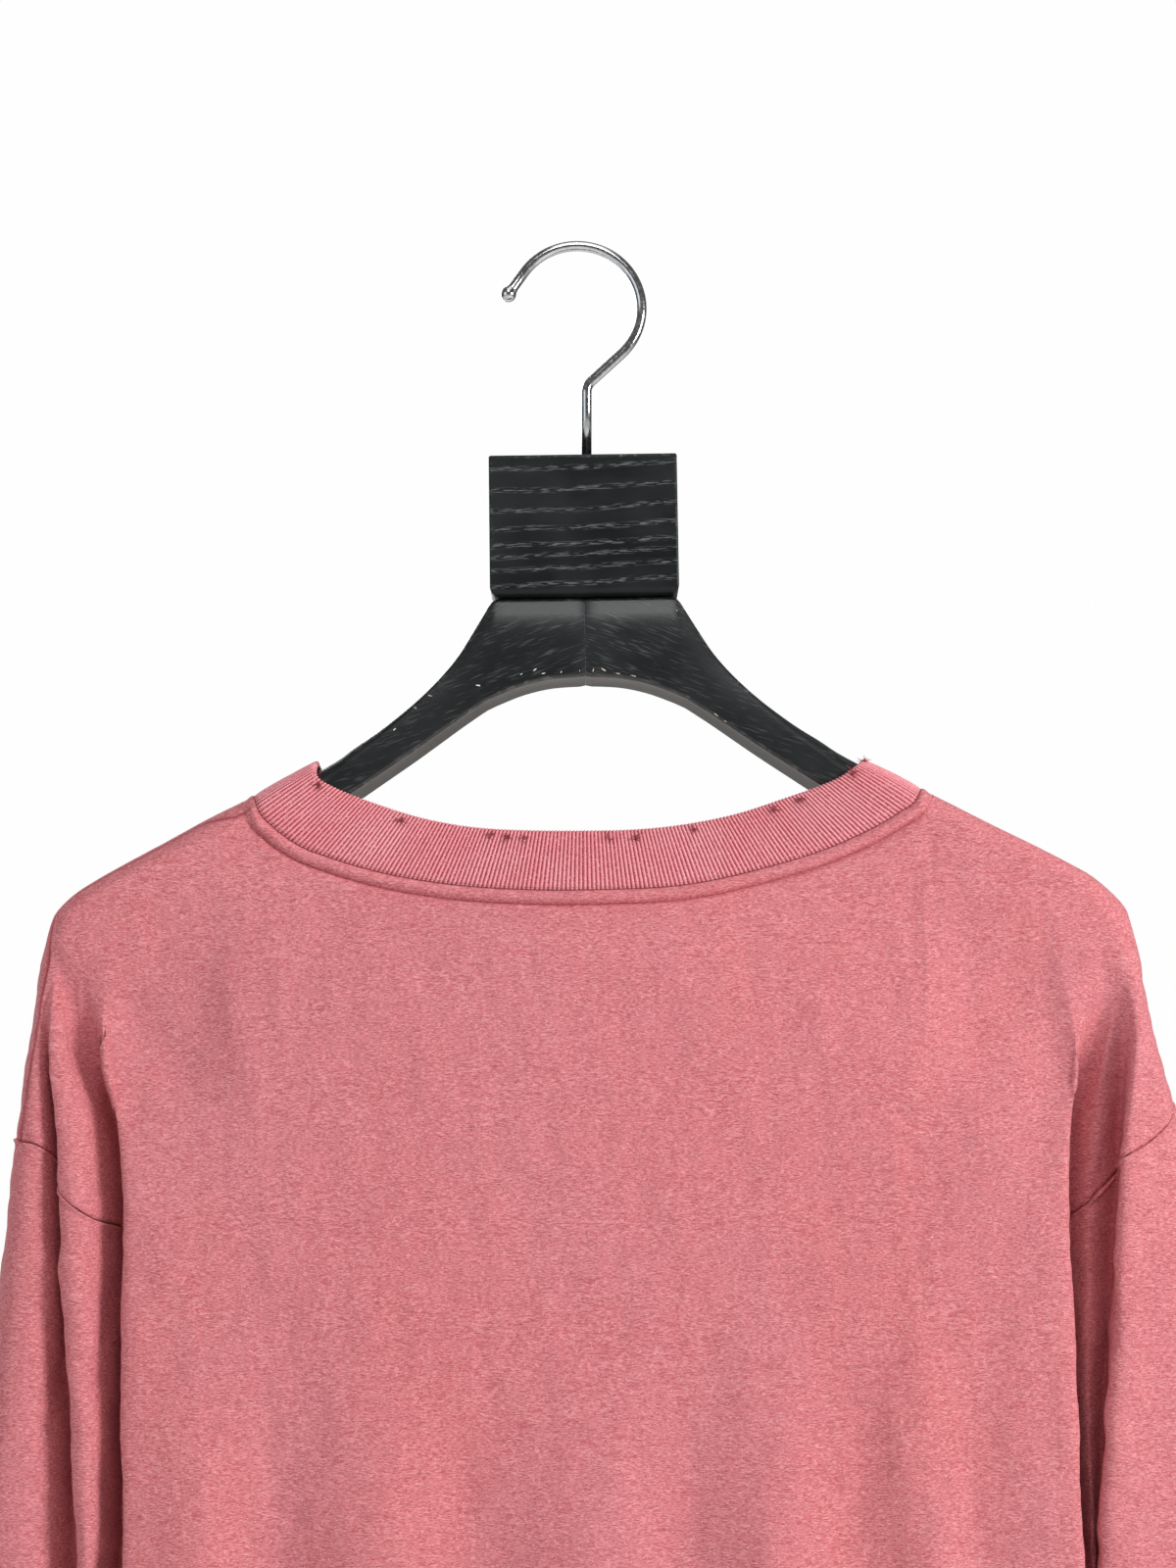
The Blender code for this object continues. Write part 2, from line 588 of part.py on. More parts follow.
def rib_edges(sign, count):
    """The rib's seam edge and top edge on one face, left to right."""
    face = Face(sign)
    columns = body_columns()[SHOULDER_STEPS:len(body_columns()) - SHOULDER_STEPS]
    seam = []
    for s in columns:
        x = face.body_x(np.array(s), HEIGHTS[0])
        point = face.body_point(np.array(s), float(face.top(x)))
        seam.append(point)
    seam[0][1] = seam[-1][1] = 0.0
    top_line = [np.array(p) for p in (BACK_RIB_TOP if sign < 0 else FRONT_RIB_TOP)]
    places = np.linspace(0, len(top_line) - 1, RIB_TOP_SAMPLES)
    top = [band_point(sign, *catmull(top_line, u)) for u in places]
    top[0][1] = top[-1][1] = 0.0
    return resample(seam, count), resample(top, count)


def rib_ring(count, place):
    """Points round the band: place 0 at the seam, 1 at the top."""
    half = count // 2
    ring = []
    for sign in (-1, 1):
        line = []
        for low, high in zip(*rib_edges(sign, half + 1)):
            away = (high - low) / np.linalg.norm(high - low)
            line.append(low + away * SEAM_GAP * (1 - place) + (high - low) * place)
        ring += line[:-1] if sign < 0 else line[::-1][:-1]
    return np.array(ring)


def ring_normals(rings):
    """Outward directions of a band of rings."""
    across = rings[-1] - rings[0]
    middle = rings[len(rings) // 2]
    along = np.roll(middle, -1, axis=0) - np.roll(middle, 1, axis=0)
    normal = np.cross(along, across)
    return normal / np.linalg.norm(normal, axis=1)[:, None]


def zip_rings(a, b, flip):
    """Triangles between two closed rings of point numbers of unlike count."""
    faces, i, j = [], 0, 0
    while i < len(a) or j < len(b):
        if j >= len(b) or (i < len(a) and (i + 1) / len(a) <= (j + 1) / len(b)):
            faces.append([a[i % len(a)], a[(i + 1) % len(a)], b[j % len(b)]])
            i += 1
        else:
            faces.append([a[i % len(a)], b[(j + 1) % len(b)], b[j % len(b)]])
            j += 1
    return [face[::-1] for face in faces] if flip else faces


def make_neck_rib():
    """A closed band of 1x1 rib: raised ribs outside, plain inside."""
    fine, coarse = 2 * RIBS, RIBS // 2
    places = (0.0, 0.5, 1.0)
    outer = [rib_ring(fine, place) for place in places]
    normals = ring_normals(outer)
    raised = np.where(np.arange(fine) % 2 == 0, RIB_RAISE, 0.0)[:, None]
    outer = [ring + normals * raised for ring in outer]
    inner = [rib_ring(coarse, place) for place in (0.0, 1.0)]
    inner_normals = ring_normals(inner)
    inner = [ring - inner_normals * RIB_WALL for ring in inner]
    points, numbers = [], []
    for ring in (*outer, *inner):
        numbers.append(list(range(len(points), len(points) + len(ring))))
        points += list(ring)
    faces = []
    for low, high in ((0, 1), (1, 2)):
        a, b = numbers[low], numbers[high]
        for i in range(fine):
            k = (i + 1) % fine
            faces.append([a[i], a[k], b[k], b[i]])
    a, b = numbers[3], numbers[4]
    for i in range(coarse):
        k = (i + 1) % coarse
        faces.append([a[k], a[i], b[i], b[k]])
    faces += zip_rings(numbers[0], numbers[3], True)
    faces += zip_rings(numbers[2], numbers[4], False)
    return add("neck_rib", mesh_from(points, faces), "pink_rib")


# ---------------------------------------------------------------------- hanger
def hang_tilt():
    """The hanger hangs a little off level, turned about the foot of the shank."""
    pivot = Vector((SHANK_X, 0.0, BLOCK_TOP)) * MM
    return Matrix.Translation(pivot) @ Matrix.Rotation(-TILT, 4, "Y") @ Matrix.Translation(-pivot)


def arm_section(row):
    """One section across an arm, as (y, z) points round it."""
    _, top, foot, half, round_y, round_z = row
    corners = (
        (half - round_y, top - round_z, round_y, round_z, 0),
        (-half + round_y, top - round_z, round_y, round_z, 90),
        (-half + ARM_FOOT_ROUND, foot + ARM_FOOT_ROUND, ARM_FOOT_ROUND, ARM_FOOT_ROUND, 180),
        (half - ARM_FOOT_ROUND, foot + ARM_FOOT_ROUND, ARM_FOOT_ROUND, ARM_FOOT_ROUND, 270),
    )
    ring = []
    for y, z, radius_y, radius_z, start in corners:
        for step in range(CORNER_POINTS):
            angle = math.radians(start + 90 * step / (CORNER_POINTS - 1))
            ring.append((y + radius_y * math.cos(angle), z + radius_z * math.sin(angle)))
    merged = [p for k, p in enumerate(ring) if math.dist(p, ring[k - 1]) > RING_MERGE]
    while len(merged) < len(ring):
        merged.append(merged[-1])
    return merged


def make_arm(name, side):
    """One wooden arm, from the mitre to its round tip."""
    points, grid = [], []
    for row in ARM:
        x = AXIS_X + side * (row[0] + MITRE_GAP)
        section = arm_section(row)
        line = list(range(len(points), len(points) + len(section)))
        points += [(x, y, z) for y, z in section]
        grid.append(line + line[:1])
    faces = grid_faces(grid, side > 0)
    faces.append(grid[0][:-1] if side > 0 else grid[0][:-1][::-1])
    faces.append(grid[-1][:-1][::-1] if side > 0 else grid[-1][:-1])
    mesh = mesh_from(points, faces)
    shape = bmesh.new()
    shape.from_mesh(mesh)
    bmesh.ops.remove_doubles(shape, verts=shape.verts, dist=MERGE * MM)
    bmesh.ops.recalc_face_normals(shape, faces=shape.faces)
    shape.to_mesh(mesh)
    shape.free()
    mesh.transform(hang_tilt())
    return add(name, mesh, "black_ash")


def make_block():
    """The rectangular neck block, its foot edges rounded more than the rest."""
    shape = bmesh.new()
    bmesh.ops.create_cube(shape, size=1.0)
    bmesh.ops.scale(shape, verts=shape.verts, vec=Vector(BLOCK_SIZE) * MM)
    foot = [e for e in shape.edges if all(v.co.z < 0 for v in e.verts)]
    bevel = {"profile": 0.5, "affect": "EDGES"}
    bmesh.ops.bevel(shape, geom=foot, offset=BLOCK_FOOT_ROUND * MM, segments=3, **bevel)
    rest = [e for e in shape.edges if e.calc_face_angle(0) > BLOCK_EDGE_ANGLE]
    bmesh.ops.bevel(shape, geom=rest, offset=BLOCK_BEVEL * MM, segments=2, **bevel)
    mesh = bpy.data.meshes.new("mesh")
    shape.to_mesh(mesh)
    shape.free()
    middle = Vector((AXIS_X, 0.0, BLOCK_TOP - BLOCK_SIZE[2] / 2))
    mesh.transform(Matrix.Translation(middle * MM))
    mesh.transform(hang_tilt())
    return add("hanger_block", mesh, "black_ash")


def circle_point(centre, radius, angle):
    """A point on a circle in the hook's plane."""
    return centre + radius * Vector((math.cos(angle), math.sin(angle)))


def hook_route():
    """(x, z, radius) along the wire: ball end, round hook, slanted stretch, shank."""
    centre = Vector((0.0, WIRE_RADIUS - HOOK_RADIUS))
    start = math.radians(HOOK_OPEN_ANGLE)
    leave = math.radians(HOOK_LEAVE_ANGLE)
    begin = circle_point(centre, HOOK_RADIUS, start)
    back = Vector((-math.sin(start), math.cos(start)))
    ball = begin + back * HOOK_STUB
    route = []
    for step in range(HOOK_BALL_STEPS):
        angle = math.pi * step / HOOK_BALL_STEPS
        radius = max(HOOK_BALL * math.sin(angle), HOOK_BALL_TIP)
        if angle > math.pi / 2 and radius < WIRE_RADIUS:
            break
        route.append((*(ball + back * HOOK_BALL * math.cos(angle)), radius))
    route.append((*(ball - back * HOOK_BALL * HOOK_NECK), WIRE_RADIUS))
    route.append((*(begin + back * WIRE_RADIUS), WIRE_RADIUS))
    for step in range(HOOK_TURNS + 1):
        angle = start + (leave - start) * step / HOOK_TURNS
        route.append((*circle_point(centre, HOOK_RADIUS, angle), WIRE_RADIUS))
    way = Vector((math.sin(leave), -math.cos(leave)))
    corner = Vector(route[-1][:2])
    corner += way * ((SHANK_X - corner.x) / way.x)
    bend = math.acos(-way.y)
    middle = Vector((SHANK_X + SHANK_BEND, corner.y - SHANK_BEND * math.tan(bend / 2)))
    for step in range(SHANK_TURNS + 1):
        angle = math.pi - bend * (1 - step / SHANK_TURNS)
        route.append((*circle_point(middle, SHANK_BEND, angle), WIRE_RADIUS))
    route.append((SHANK_X, BLOCK_TOP + SEAM_GAP, WIRE_RADIUS))
    return route


def make_hook():
    """The wire hook, one curve whose last points swell to the ball."""
    wire = bpy.data.curves.new("hanger_hook", "CURVE")
    wire.dimensions = "3D"
    wire.bevel_depth = WIRE_RADIUS * MM
    wire.bevel_resolution = 3
    wire.use_fill_caps = True
    route = hook_route()
    spline = wire.splines.new("POLY")
    spline.points.add(len(route) - 1)
    for point, (x, z, radius) in zip(spline.points, route):
        point.co = (x * MM, 0.0, z * MM, 1.0)
        point.radius = radius / WIRE_RADIUS
    wire.materials.append(finish("chrome_wire"))
    hook = bpy.data.objects.new("hanger_hook", wire)
    bpy.data.collections[COLLECTION].objects.link(hook)
    return hook


def main():
    """Clears the scene and builds every piece."""
    for item in list(bpy.data.objects):
        bpy.data.objects.remove(item, do_unlink=True)
    bpy.context.scene.collection.children.link(bpy.data.collections.new(COLLECTION))
    make_panel("back_panel", -1)
    make_panel("front_panel", 1)
    make_sleeve("sleeve_left", -1)
    make_sleeve("sleeve_right", 1)
    make_neck_rib()
    make_arm("hanger_arm_left", -1)
    make_arm("hanger_arm_right", 1)
    make_block()
    make_hook()


if __name__ == "__main__":
    main()
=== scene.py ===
"""Dresses the long-sleeve tee and its hanger: cloth shells, sewing, wood and wire.

Lengths are millimetres until a mesh is made. +Z is up, the back of the shirt
faces -Y, and the origin is the inside top of the hook's bend. Grids of points
hold x, y and z in their last axis. A side's columns u run from 0 at the
outline, over its fold lines, to EDGE at the body, and the body's columns s run
from -1 to 1.
"""

import logging
import math
from collections.abc import Sequence
from dataclasses import dataclass, field
from enum import Enum, IntEnum

import bmesh
import bpy
import numpy as np
from mathutils import Matrix, Vector


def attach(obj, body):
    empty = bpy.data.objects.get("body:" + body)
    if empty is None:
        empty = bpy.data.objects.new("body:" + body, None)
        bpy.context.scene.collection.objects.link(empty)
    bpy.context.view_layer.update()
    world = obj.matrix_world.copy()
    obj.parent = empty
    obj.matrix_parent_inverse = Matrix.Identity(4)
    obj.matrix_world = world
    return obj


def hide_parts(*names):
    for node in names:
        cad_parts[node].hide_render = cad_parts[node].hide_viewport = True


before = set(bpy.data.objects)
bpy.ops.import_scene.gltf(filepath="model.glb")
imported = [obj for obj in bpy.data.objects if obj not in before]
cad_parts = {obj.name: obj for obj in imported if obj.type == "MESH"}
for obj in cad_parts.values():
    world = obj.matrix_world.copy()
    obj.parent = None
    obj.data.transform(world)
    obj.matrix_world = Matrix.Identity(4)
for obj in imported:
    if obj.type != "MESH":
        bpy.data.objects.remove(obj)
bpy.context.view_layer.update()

MM = 0.001
BODY = "root"
LOG = logging.getLogger("tee")
Array = np.ndarray
Colour = tuple[float, float, float, float]
Triple = tuple[float, float, float]
Socket = bpy.types.NodeSocket
Material = bpy.types.Material
Mesh = bpy.types.Mesh
Piece = bpy.types.Object


class Side(IntEnum):
    """The shirt's two sides, as the photograph shows them."""

    LEFT = -1
    RIGHT = 1


LEFT, RIGHT = Side


class Face(IntEnum):
    """The shirt's two faces; the back is the one that the camera sees."""

    BACK = -1
    FRONT = 1


class Slot(str, Enum):
    """The record's material slots."""

    JERSEY = "jersey"
    RIB = "rib"
    WOOD = "wood"
    WIRE = "wire"


# ---- shared sizes
HALF_GAP = 0.15
WALL = 1.3
HEM_Z = -935.0
CUFF_Z = -896.0
UNDERARM_Z = -430.0
UNDERARM_DEPTH = 3.8
NECK_POINT = {LEFT: (-124.4, -219.5), RIGHT: (133, -216.8)}
SHOULDER_SLOPE = {LEFT: 0.5517, RIGHT: 0.512}
SHOULDER_BOW = {LEFT: 1.6, RIGHT: 0.8}
SHOULDER_END = 205.0
TIP_START = {LEFT: 186, RIGHT: 194.0}
TIP_FALL = 0.0145
# Where the sleeve seam passes behind the body's edge, before it dives to the underarm.
SEAM_HANG = {LEFT: -384.5, RIGHT: -381.5}
SEAM_DIVE = 16
SHOULDER_CLEAR = 2.4
ROLL_HEIGHT = 10.2
ROLL_TIP = 180.0
SETTLE = 120.0
AXIS_X = 2.3
BACK_SEAM = (
    (-124.4, -219.5), (-121.8, -226.2), (-115.1, -233.9), (-105.6, -240.6),
    (-93.6, -245.3), (-78, -250), (-52, -255), (-25.7, -257.3),
    (9.8, -257.6), (41.6, -255.6), (71.1, -249.2), (103.2, -238.4),
    (122.8, -227.9), (129.8, -222.6), (133, -216.8),
)
FRONT_SEAM = (
    (-124.4, -219.5), (-122.4, -227), (-119, -240), (-109, -263),
    (-90, -286), (-60, -304), (-28, -311.5), (4.3, -313.5),
    (37, -311), (69, -303), (99, -284.5), (118, -261),
    (127.6, -238), (131, -225), (133, -216.8),
)
BACK_RIB_TOP = (
    (-101, -205.6), (-99.5, -213.3), (-94, -217.4), (-80.3, -223),
    (-55, -230.7), (-25.9, -234.4), (21.6, -234.4), (55.3, -229.6),
    (81.2, -221.6), (98.5, -215.2), (106, -210.4), (111.5, -205.4),
)
FRONT_RIB_TOP = (
    (-101, -205.6), (-99.2, -213), (-96, -226), (-88, -246),
    (-72, -266), (-48, -281.5), (-23, -288), (4.3, -290),
    (32, -287.5), (57, -280.5), (80, -264.5), (96, -244.5),
    (105, -225), (109.2, -212), (111.5, -205.4),
)
# Heights at which the fold lines are given; VALLEY and EDGE are the last two lines.
HEIGHTS = (-262, -300, -350, -430, -510, -650, -800, -935)
VALLEY, EDGE = 6, 7


@dataclass(frozen=True)
class FoldLine:
    """A line of the folds that fan out from an arm tip, at HEIGHTS."""

    out: tuple[float, ...]
    depth: tuple[float, ...]
    seam: float


# From the outline inwards: outer, crest, band, gully, ridge, middle, valley, edge.
LEFT_FOLDS = (
    FoldLine((203.8, 208.6, 213.6, 220.5, 226.8, 230, 229, 226),
             (0,) * 8, -350.4),
    FoldLine((202, 205.5, 209.5, 213, 217, 220, 219, 216),
             (9, 13, 18, 21, 22, 22, 20, 17), -352),
    FoldLine((200, 203.5, 201, 198.5, 197, 199, 200, 200),
             (12, 17, 21, 22, 22, 21, 19, 16), -354),
    FoldLine((198, 200.5, 195.5, 191, 186.5, 188, 189.5, 190),
             (14.5, 13.5, 9, 6, 5, 5, 6, 7), -362),
    FoldLine((196.5, 200.8, 194.3, 188.5, 182, 182, 184, 186),
             (17, 21, 25, 26, 26, 25, 22, 19), -371),
    FoldLine((194, 193, 183.5, 178.5, 174.5, 174.5, 177, 179),
             (18.5, 20, 24, 26, 27, 26, 24, 21), -380),
    FoldLine((191.5, 188.5, 173.6, 170, 168, 168, 170, 172),
             (19, 14, 6, UNDERARM_DEPTH, 0, 0, 0, 0), UNDERARM_Z),
    FoldLine((189, 185.5, 171, 168, 165.8, 166, 168, 170),
             (19.5, 21, 25, 29, 33, 36, 38, 38), UNDERARM_Z),
)
# The same, but the ridge comes before the gully.
RIGHT_FOLDS = (
    FoldLine((215, 219.8, 230, 238.5, 244, 247, 246, 242),
             (0,) * 8, -336),
    FoldLine((213, 217, 225, 231, 234, 237, 236, 232),
             (9, 14, 19, 22, 23, 23, 21, 18), -343),
    FoldLine((209.5, 213.5, 213, 212, 212, 214, 216, 216),
             (13, 20, 25, 28, 29, 28, 25, 21), -353),
    FoldLine((204.5, 210.8, 204.5, 197.7, 191.5, 192.5, 195, 198),
             (16, 21, 26, 29, 30, 29, 26, 22), -358),
    FoldLine((202, 208.6, 206.5, 200.5, 195.5, 196.5, 198.5, 201),
             (17, 12, 7, 5, 5, 6, 7, 8), -363),
    FoldLine((199.5, 202.5, 196, 191.8, 190.8, 191, 192.5, 194),
             (18, 14, 12, 11, 11, 12, 13, 13), -374),
    FoldLine((197, 197.5, 187.4, 186.2, 187.6, 188.5, 190, 191),
             (19, 13, 6, UNDERARM_DEPTH, 0, 0, 0, 0), UNDERARM_Z),
    FoldLine((193, 193, 184.2, 183.8, 185.8, 187, 189, 190),
             (19.5, 21, 26, 31, 35, 38, 40, 40), UNDERARM_Z),
)
FOLDS = {LEFT: LEFT_FOLDS, RIGHT: RIGHT_FOLDS}
# Painted shade where the cloth lies deep between two fold lines: middle, half width and amount.
PAINTED_FOLD_SHADES = {
    LEFT: ((2.85, 0.40, 0.30), (5.80, 0.50, 0.30)),
    RIGHT: ((4.15, 0.40, 0.50), (5.90, 0.40, 0.25)),
}
PAINTED_SHADE_BEGIN, PAINTED_SHADE_FULL = -296, -344.0
FRONT_SHIFT = (0, 1.5, -3, 2.5, -2, 1, 0, 3)
FRONT_FULLER = 1.12
PAST_EDGE = (9, 0.6)
SIDE_FOLD_IN = 60.0
SIDE_FOLD_GROWS = 230.0


@dataclass(frozen=True)
class BodyFold:
    """A soft upright fold of the body, from where it starts down to the hem."""

    foot_x: float
    hem_x: float
    height: float
    half_width: float
    start_z: float


BACK_BODY_FOLDS = tuple(BodyFold(*row) for row in (
    (-139.6, -136, 4.5, 18, -380), (-108.4, -103, -5, 20, -390), (-72.4, -66, 5, 22, -400),
    (-36.7, -31, -5, 22, -410), (2.6, 8, 5, 22, -420), (40.1, 46, -5.5, 20, -410),
    (72.3, 80, 5, 19, -400), (101.9, 110, -5, 17, -390), (126.9, 135, 4, 14, -390),
    (148.5, 156, -3.5, 12, -380),
))
FRONT_BODY_FOLDS = tuple(BodyFold(*row) for row in (
    (-140, -136, -5, 20, -380), (-104, -98, 5, 22, -390), (-66, -62, -5.5, 22, -410),
    (-26, -20, 5, 24, -420), (14, 22, -5.5, 24, -430), (58, 66, 5, 22, -410), (98, 106, -5, 22, -390),
    (138, 146, 4.5, 20, -380),
))
FOLD_FOOT_Z = -507.0
FOLD_GROWS = 130.0
FOLD_SHARPNESS = 1.4
EDGE_POWER = 6
FADE_POWER = 12
BACK_FULL = ((-200, 20), (-430, 29), (-510, 33), (-700, 38), (-935, 41))
FRONT_FULL = ((-200, 20), (-430, 32), (-510, 37), (-700, 43), (-935, 46))

# Hanger: tilt, and an arm's sections from the middle out: reach, top, foot, half depth, two roundings.
SHANK_X = 3.8
BLOCK_TOP = -86.6
TILT = math.radians(0.8)
ARM = (
    (0, -142.6, -174.3, 12.3, 2, 2), (13, -142.6, -175, 12.3, 2, 2),
    (24, -142.6, -177.4, 12.3, 2, 2), (33.5, -142.6, -181, 12.3, 2, 2),
    (36.6, -144.2, -182.4, 12.3, 2, 2), (39.4, -148.6, -183.8, 12.3, 2, 2),
    (44.2, -156.6, -187, 12.4, 2, 2), (49.5, -165, -190.6, 12.6, 2.2, 2.2),
    (56.8, -173.8, -195.8, 13, 2.6, 2.6), (67, -183.6, -203, 13.5, 3.6, 3.4),
    (79.5, -193.1, -211.4, 14.2, 6.5, 5), (90, -199.4, -218.4, 14.8, 11, 6.5),
    (100.7, -205.9, -225.2, 15.2, 15.2, 8), (127, -219.9, -239.4, 16.6, 16.6, 8),
    (155, -234.8, -254, 17.6, 17.6, 8), (180, -248.1, -266.6, 17.4, 17.4, 8),
    (191, -254.4, -271.6, 15, 15, 7.6), (197, -258.8, -273.4, 10.8, 10.8, 6.6),
    (200, -262.6, -272.8, 6, 6, 4.6),
)

# Growth bands on the block's face, down from its top, how the grain turns and how fine it is.
BLOCK_BANDS = (5.1, 13.6, 21.7, 29, 35.4, 39.7, 45, 51.3)
BLOCK_TURN = math.radians(2.2)
ARM_TURN = math.radians(20)
ARM_STROKE = (130, 800, 1700)
BLOCK_STROKE = (210, 700, 2300)


# ---- formulas
def soft(t: Array | float) -> Array | float:
    """Runs from 0 to 1 with a gentle start and end."""
    t = np.clip(t, 0, 1)
    return t * t * (3.0 - 2.0 * t)


def ramp(value: Array | float, start: float, end: float) -> Array | float:
    """Runs gently from 0 at start to 1 at end."""
    return soft((value - start) / (end - start))


def swell(distance: Array, half_width: float) -> Array:
    """A soft bell, 1 at no distance."""
    return np.exp(-((distance / half_width) ** 2))


def curve(knots: Sequence[float], values: Sequence[float], at: Array | float) -> Array:
    """A smooth curve through values at rising knots, level past its ends.

    Args:
        knots: Rising places.
        values: The value at each knot.
        at: Where the curve is read.

    Returns:
        The curve's value at each place.
    """
    knots, values = np.asarray(knots, float), np.asarray(values, float)
    slopes = np.gradient(values, knots)
    at = np.clip(at, knots[0], knots[-1])
    i = np.clip(np.searchsorted(knots, at) - 1, 0, len(knots) - 2)
    span = knots[i + 1] - knots[i]
    t = (at - knots[i]) / span
    near = (2 * t**3 - 3 * t**2 + 1) * values[i] + (t**3 - 2 * t**2 + t) * span * slopes[i]
    far = (3 * t**2 - 2 * t**3) * values[i + 1] + (t**3 - t**2) * span * slopes[i + 1]
    return near + far


def by_height(values: tuple[float, ...], z: Array | float) -> Array:
    """A fold table's value at each height."""
    return curve(HEIGHTS[::-1], values[::-1], z)


def through(rows: Array, places: Array) -> Array:
    """A smooth line through rows, read at places counted in rows.

    Args:
        rows: The rows to pass through, first axis; further axes end with the places' own.
        places: One place for each entry of the rows' last axis.

    Returns:
        The line's value at each place.
    """
    count = len(rows)
    i = np.minimum(np.floor(places).astype(int), count - 2)
    t = places - i
    at = np.arange(len(places))
    a, b, c, d = (rows[np.clip(i + k, 0, count - 1), ..., at] for k in (-1, 0, 1, 2))
    a, b, c, d = (np.moveaxis(np.asarray(v), 0, -1) for v in (a, b, c, d))
    return 0.5 * (
        2 * b + (c - a) * t + (2 * a - 5 * b + 4 * c - d) * t * t
        + (3 * b - a - 3 * c + d) * t**3
    )


def resample(points: Array, places: Array) -> Array:
    """Points at places, from 0 to 1 of the length of a line of straight runs.

    Args:
        points: The line's points, one a row.
        places: Shares of the line's length.

    Returns:
        A point for each place.
    """
    steps = np.linalg.norm(np.diff(points, axis=0), axis=1)
    length = np.concatenate([[0.0], np.cumsum(steps)])
    at = np.asarray(places) * length[-1]
    return np.stack([np.interp(at, length, points[:, k]) for k in range(3)], axis=1)


def shoulder_z(x: Array) -> Array:
    """Height of the shoulder line over x, also inside the neck opening.

    Args:
        x: Places across.

    Returns:
        The height at each place.
    """
    left = x < AXIS_X

    def by_side(table: dict[Side, float]) -> Array:
        """The table's value on each place's side."""
        return np.where(left, table[LEFT], table[RIGHT])

    neck_x, neck_z = (np.where(left, *(NECK_POINT[side][k] for side in Side)) for k in (0, 1))
    past_neck = np.abs(x) - np.abs(neck_x)
    share = np.clip(past_neck / (SHOULDER_END - np.abs(neck_x)), 0, 1)
    bow = 4.0 * share * (1.0 - share) * by_side(SHOULDER_BOW)
    fall = np.maximum(np.abs(x) - by_side(TIP_START), 0) ** 2 * TIP_FALL
    return neck_z - past_neck * by_side(SHOULDER_SLOPE) + bow - fall


def roll_depth(x: Array) -> Array:
    """How deep the cloth lies once it has rolled over the hanger's arm."""
    out = np.minimum(np.abs(x - AXIS_X), ROLL_TIP)
    return curve([row[0] for row in ARM], [row[3] for row in ARM], out) + SHOULDER_CLEAR


def roll(drop: Array) -> Array:
    """0 on the shoulder line, 1 where the cloth hangs clear below the arm."""
    t = np.clip(drop / ROLL_HEIGHT, 0, 1)
    return np.sqrt(1.0 - (1.0 - t) ** 2)


@dataclass
class Ripple:
    """Small uneven waves in the cloth, the same on every run."""

    seed: int
    height: float
    across: float
    down: float
    waves: int = 14

    def at(self, x: Array, z: Array) -> Array:
        """Height of the waves at places across and down the cloth.

        Args:
            x: Places across.
            z: Places down.

        Returns:
            The height at each place.
        """
        dice = np.random.default_rng(self.seed)
        total = np.zeros(np.broadcast(x, z).shape)
        for _ in range(self.waves):
            kx, kz = dice.normal(0, 1 / self.across), dice.normal(0, 1 / self.down)
            total = total + np.cos(2 * math.pi * (kx * x + kz * z + dice.random()))
        return total * self.height / math.sqrt(self.waves)


@dataclass(frozen=True)
class Crease:
    """A soft ridge, or a trough if its height is negative, along a bowed line."""

    start: tuple[float, float]
    end: tuple[float, float]
    height: float
    half_width: float
    bow: float = 0.0

    def at(self, x: Array, z: Array) -> Array:
        """Height of the crease at places on the cloth.

        Args:
            x: Places across.
            z: Places down.

        Returns:
            The height at each place.
        """
        run = np.subtract(self.end, self.start)
        length = float(np.hypot(*run))
        way = run / length
        t = ((x - self.start[0]) * way[0] + (z - self.start[1]) * way[1]) / length
        off = (z - self.start[1]) * way[0] - (x - self.start[0]) * way[1]
        off = off - self.bow * 4 * t * (1 - t)
        ends = ramp(t, -0.05, 0.35) * ramp(t, 1.05, 0.6)
        return self.height * ends * swell(off, self.half_width)


def creases(*rows: tuple[float, ...]) -> tuple[Crease, ...]:
    """Creases from rows of start, end, height, half width and, if it has one, bow."""
    return tuple(Crease((a, b), (c, d), *rest) for a, b, c, d, *rest in rows)


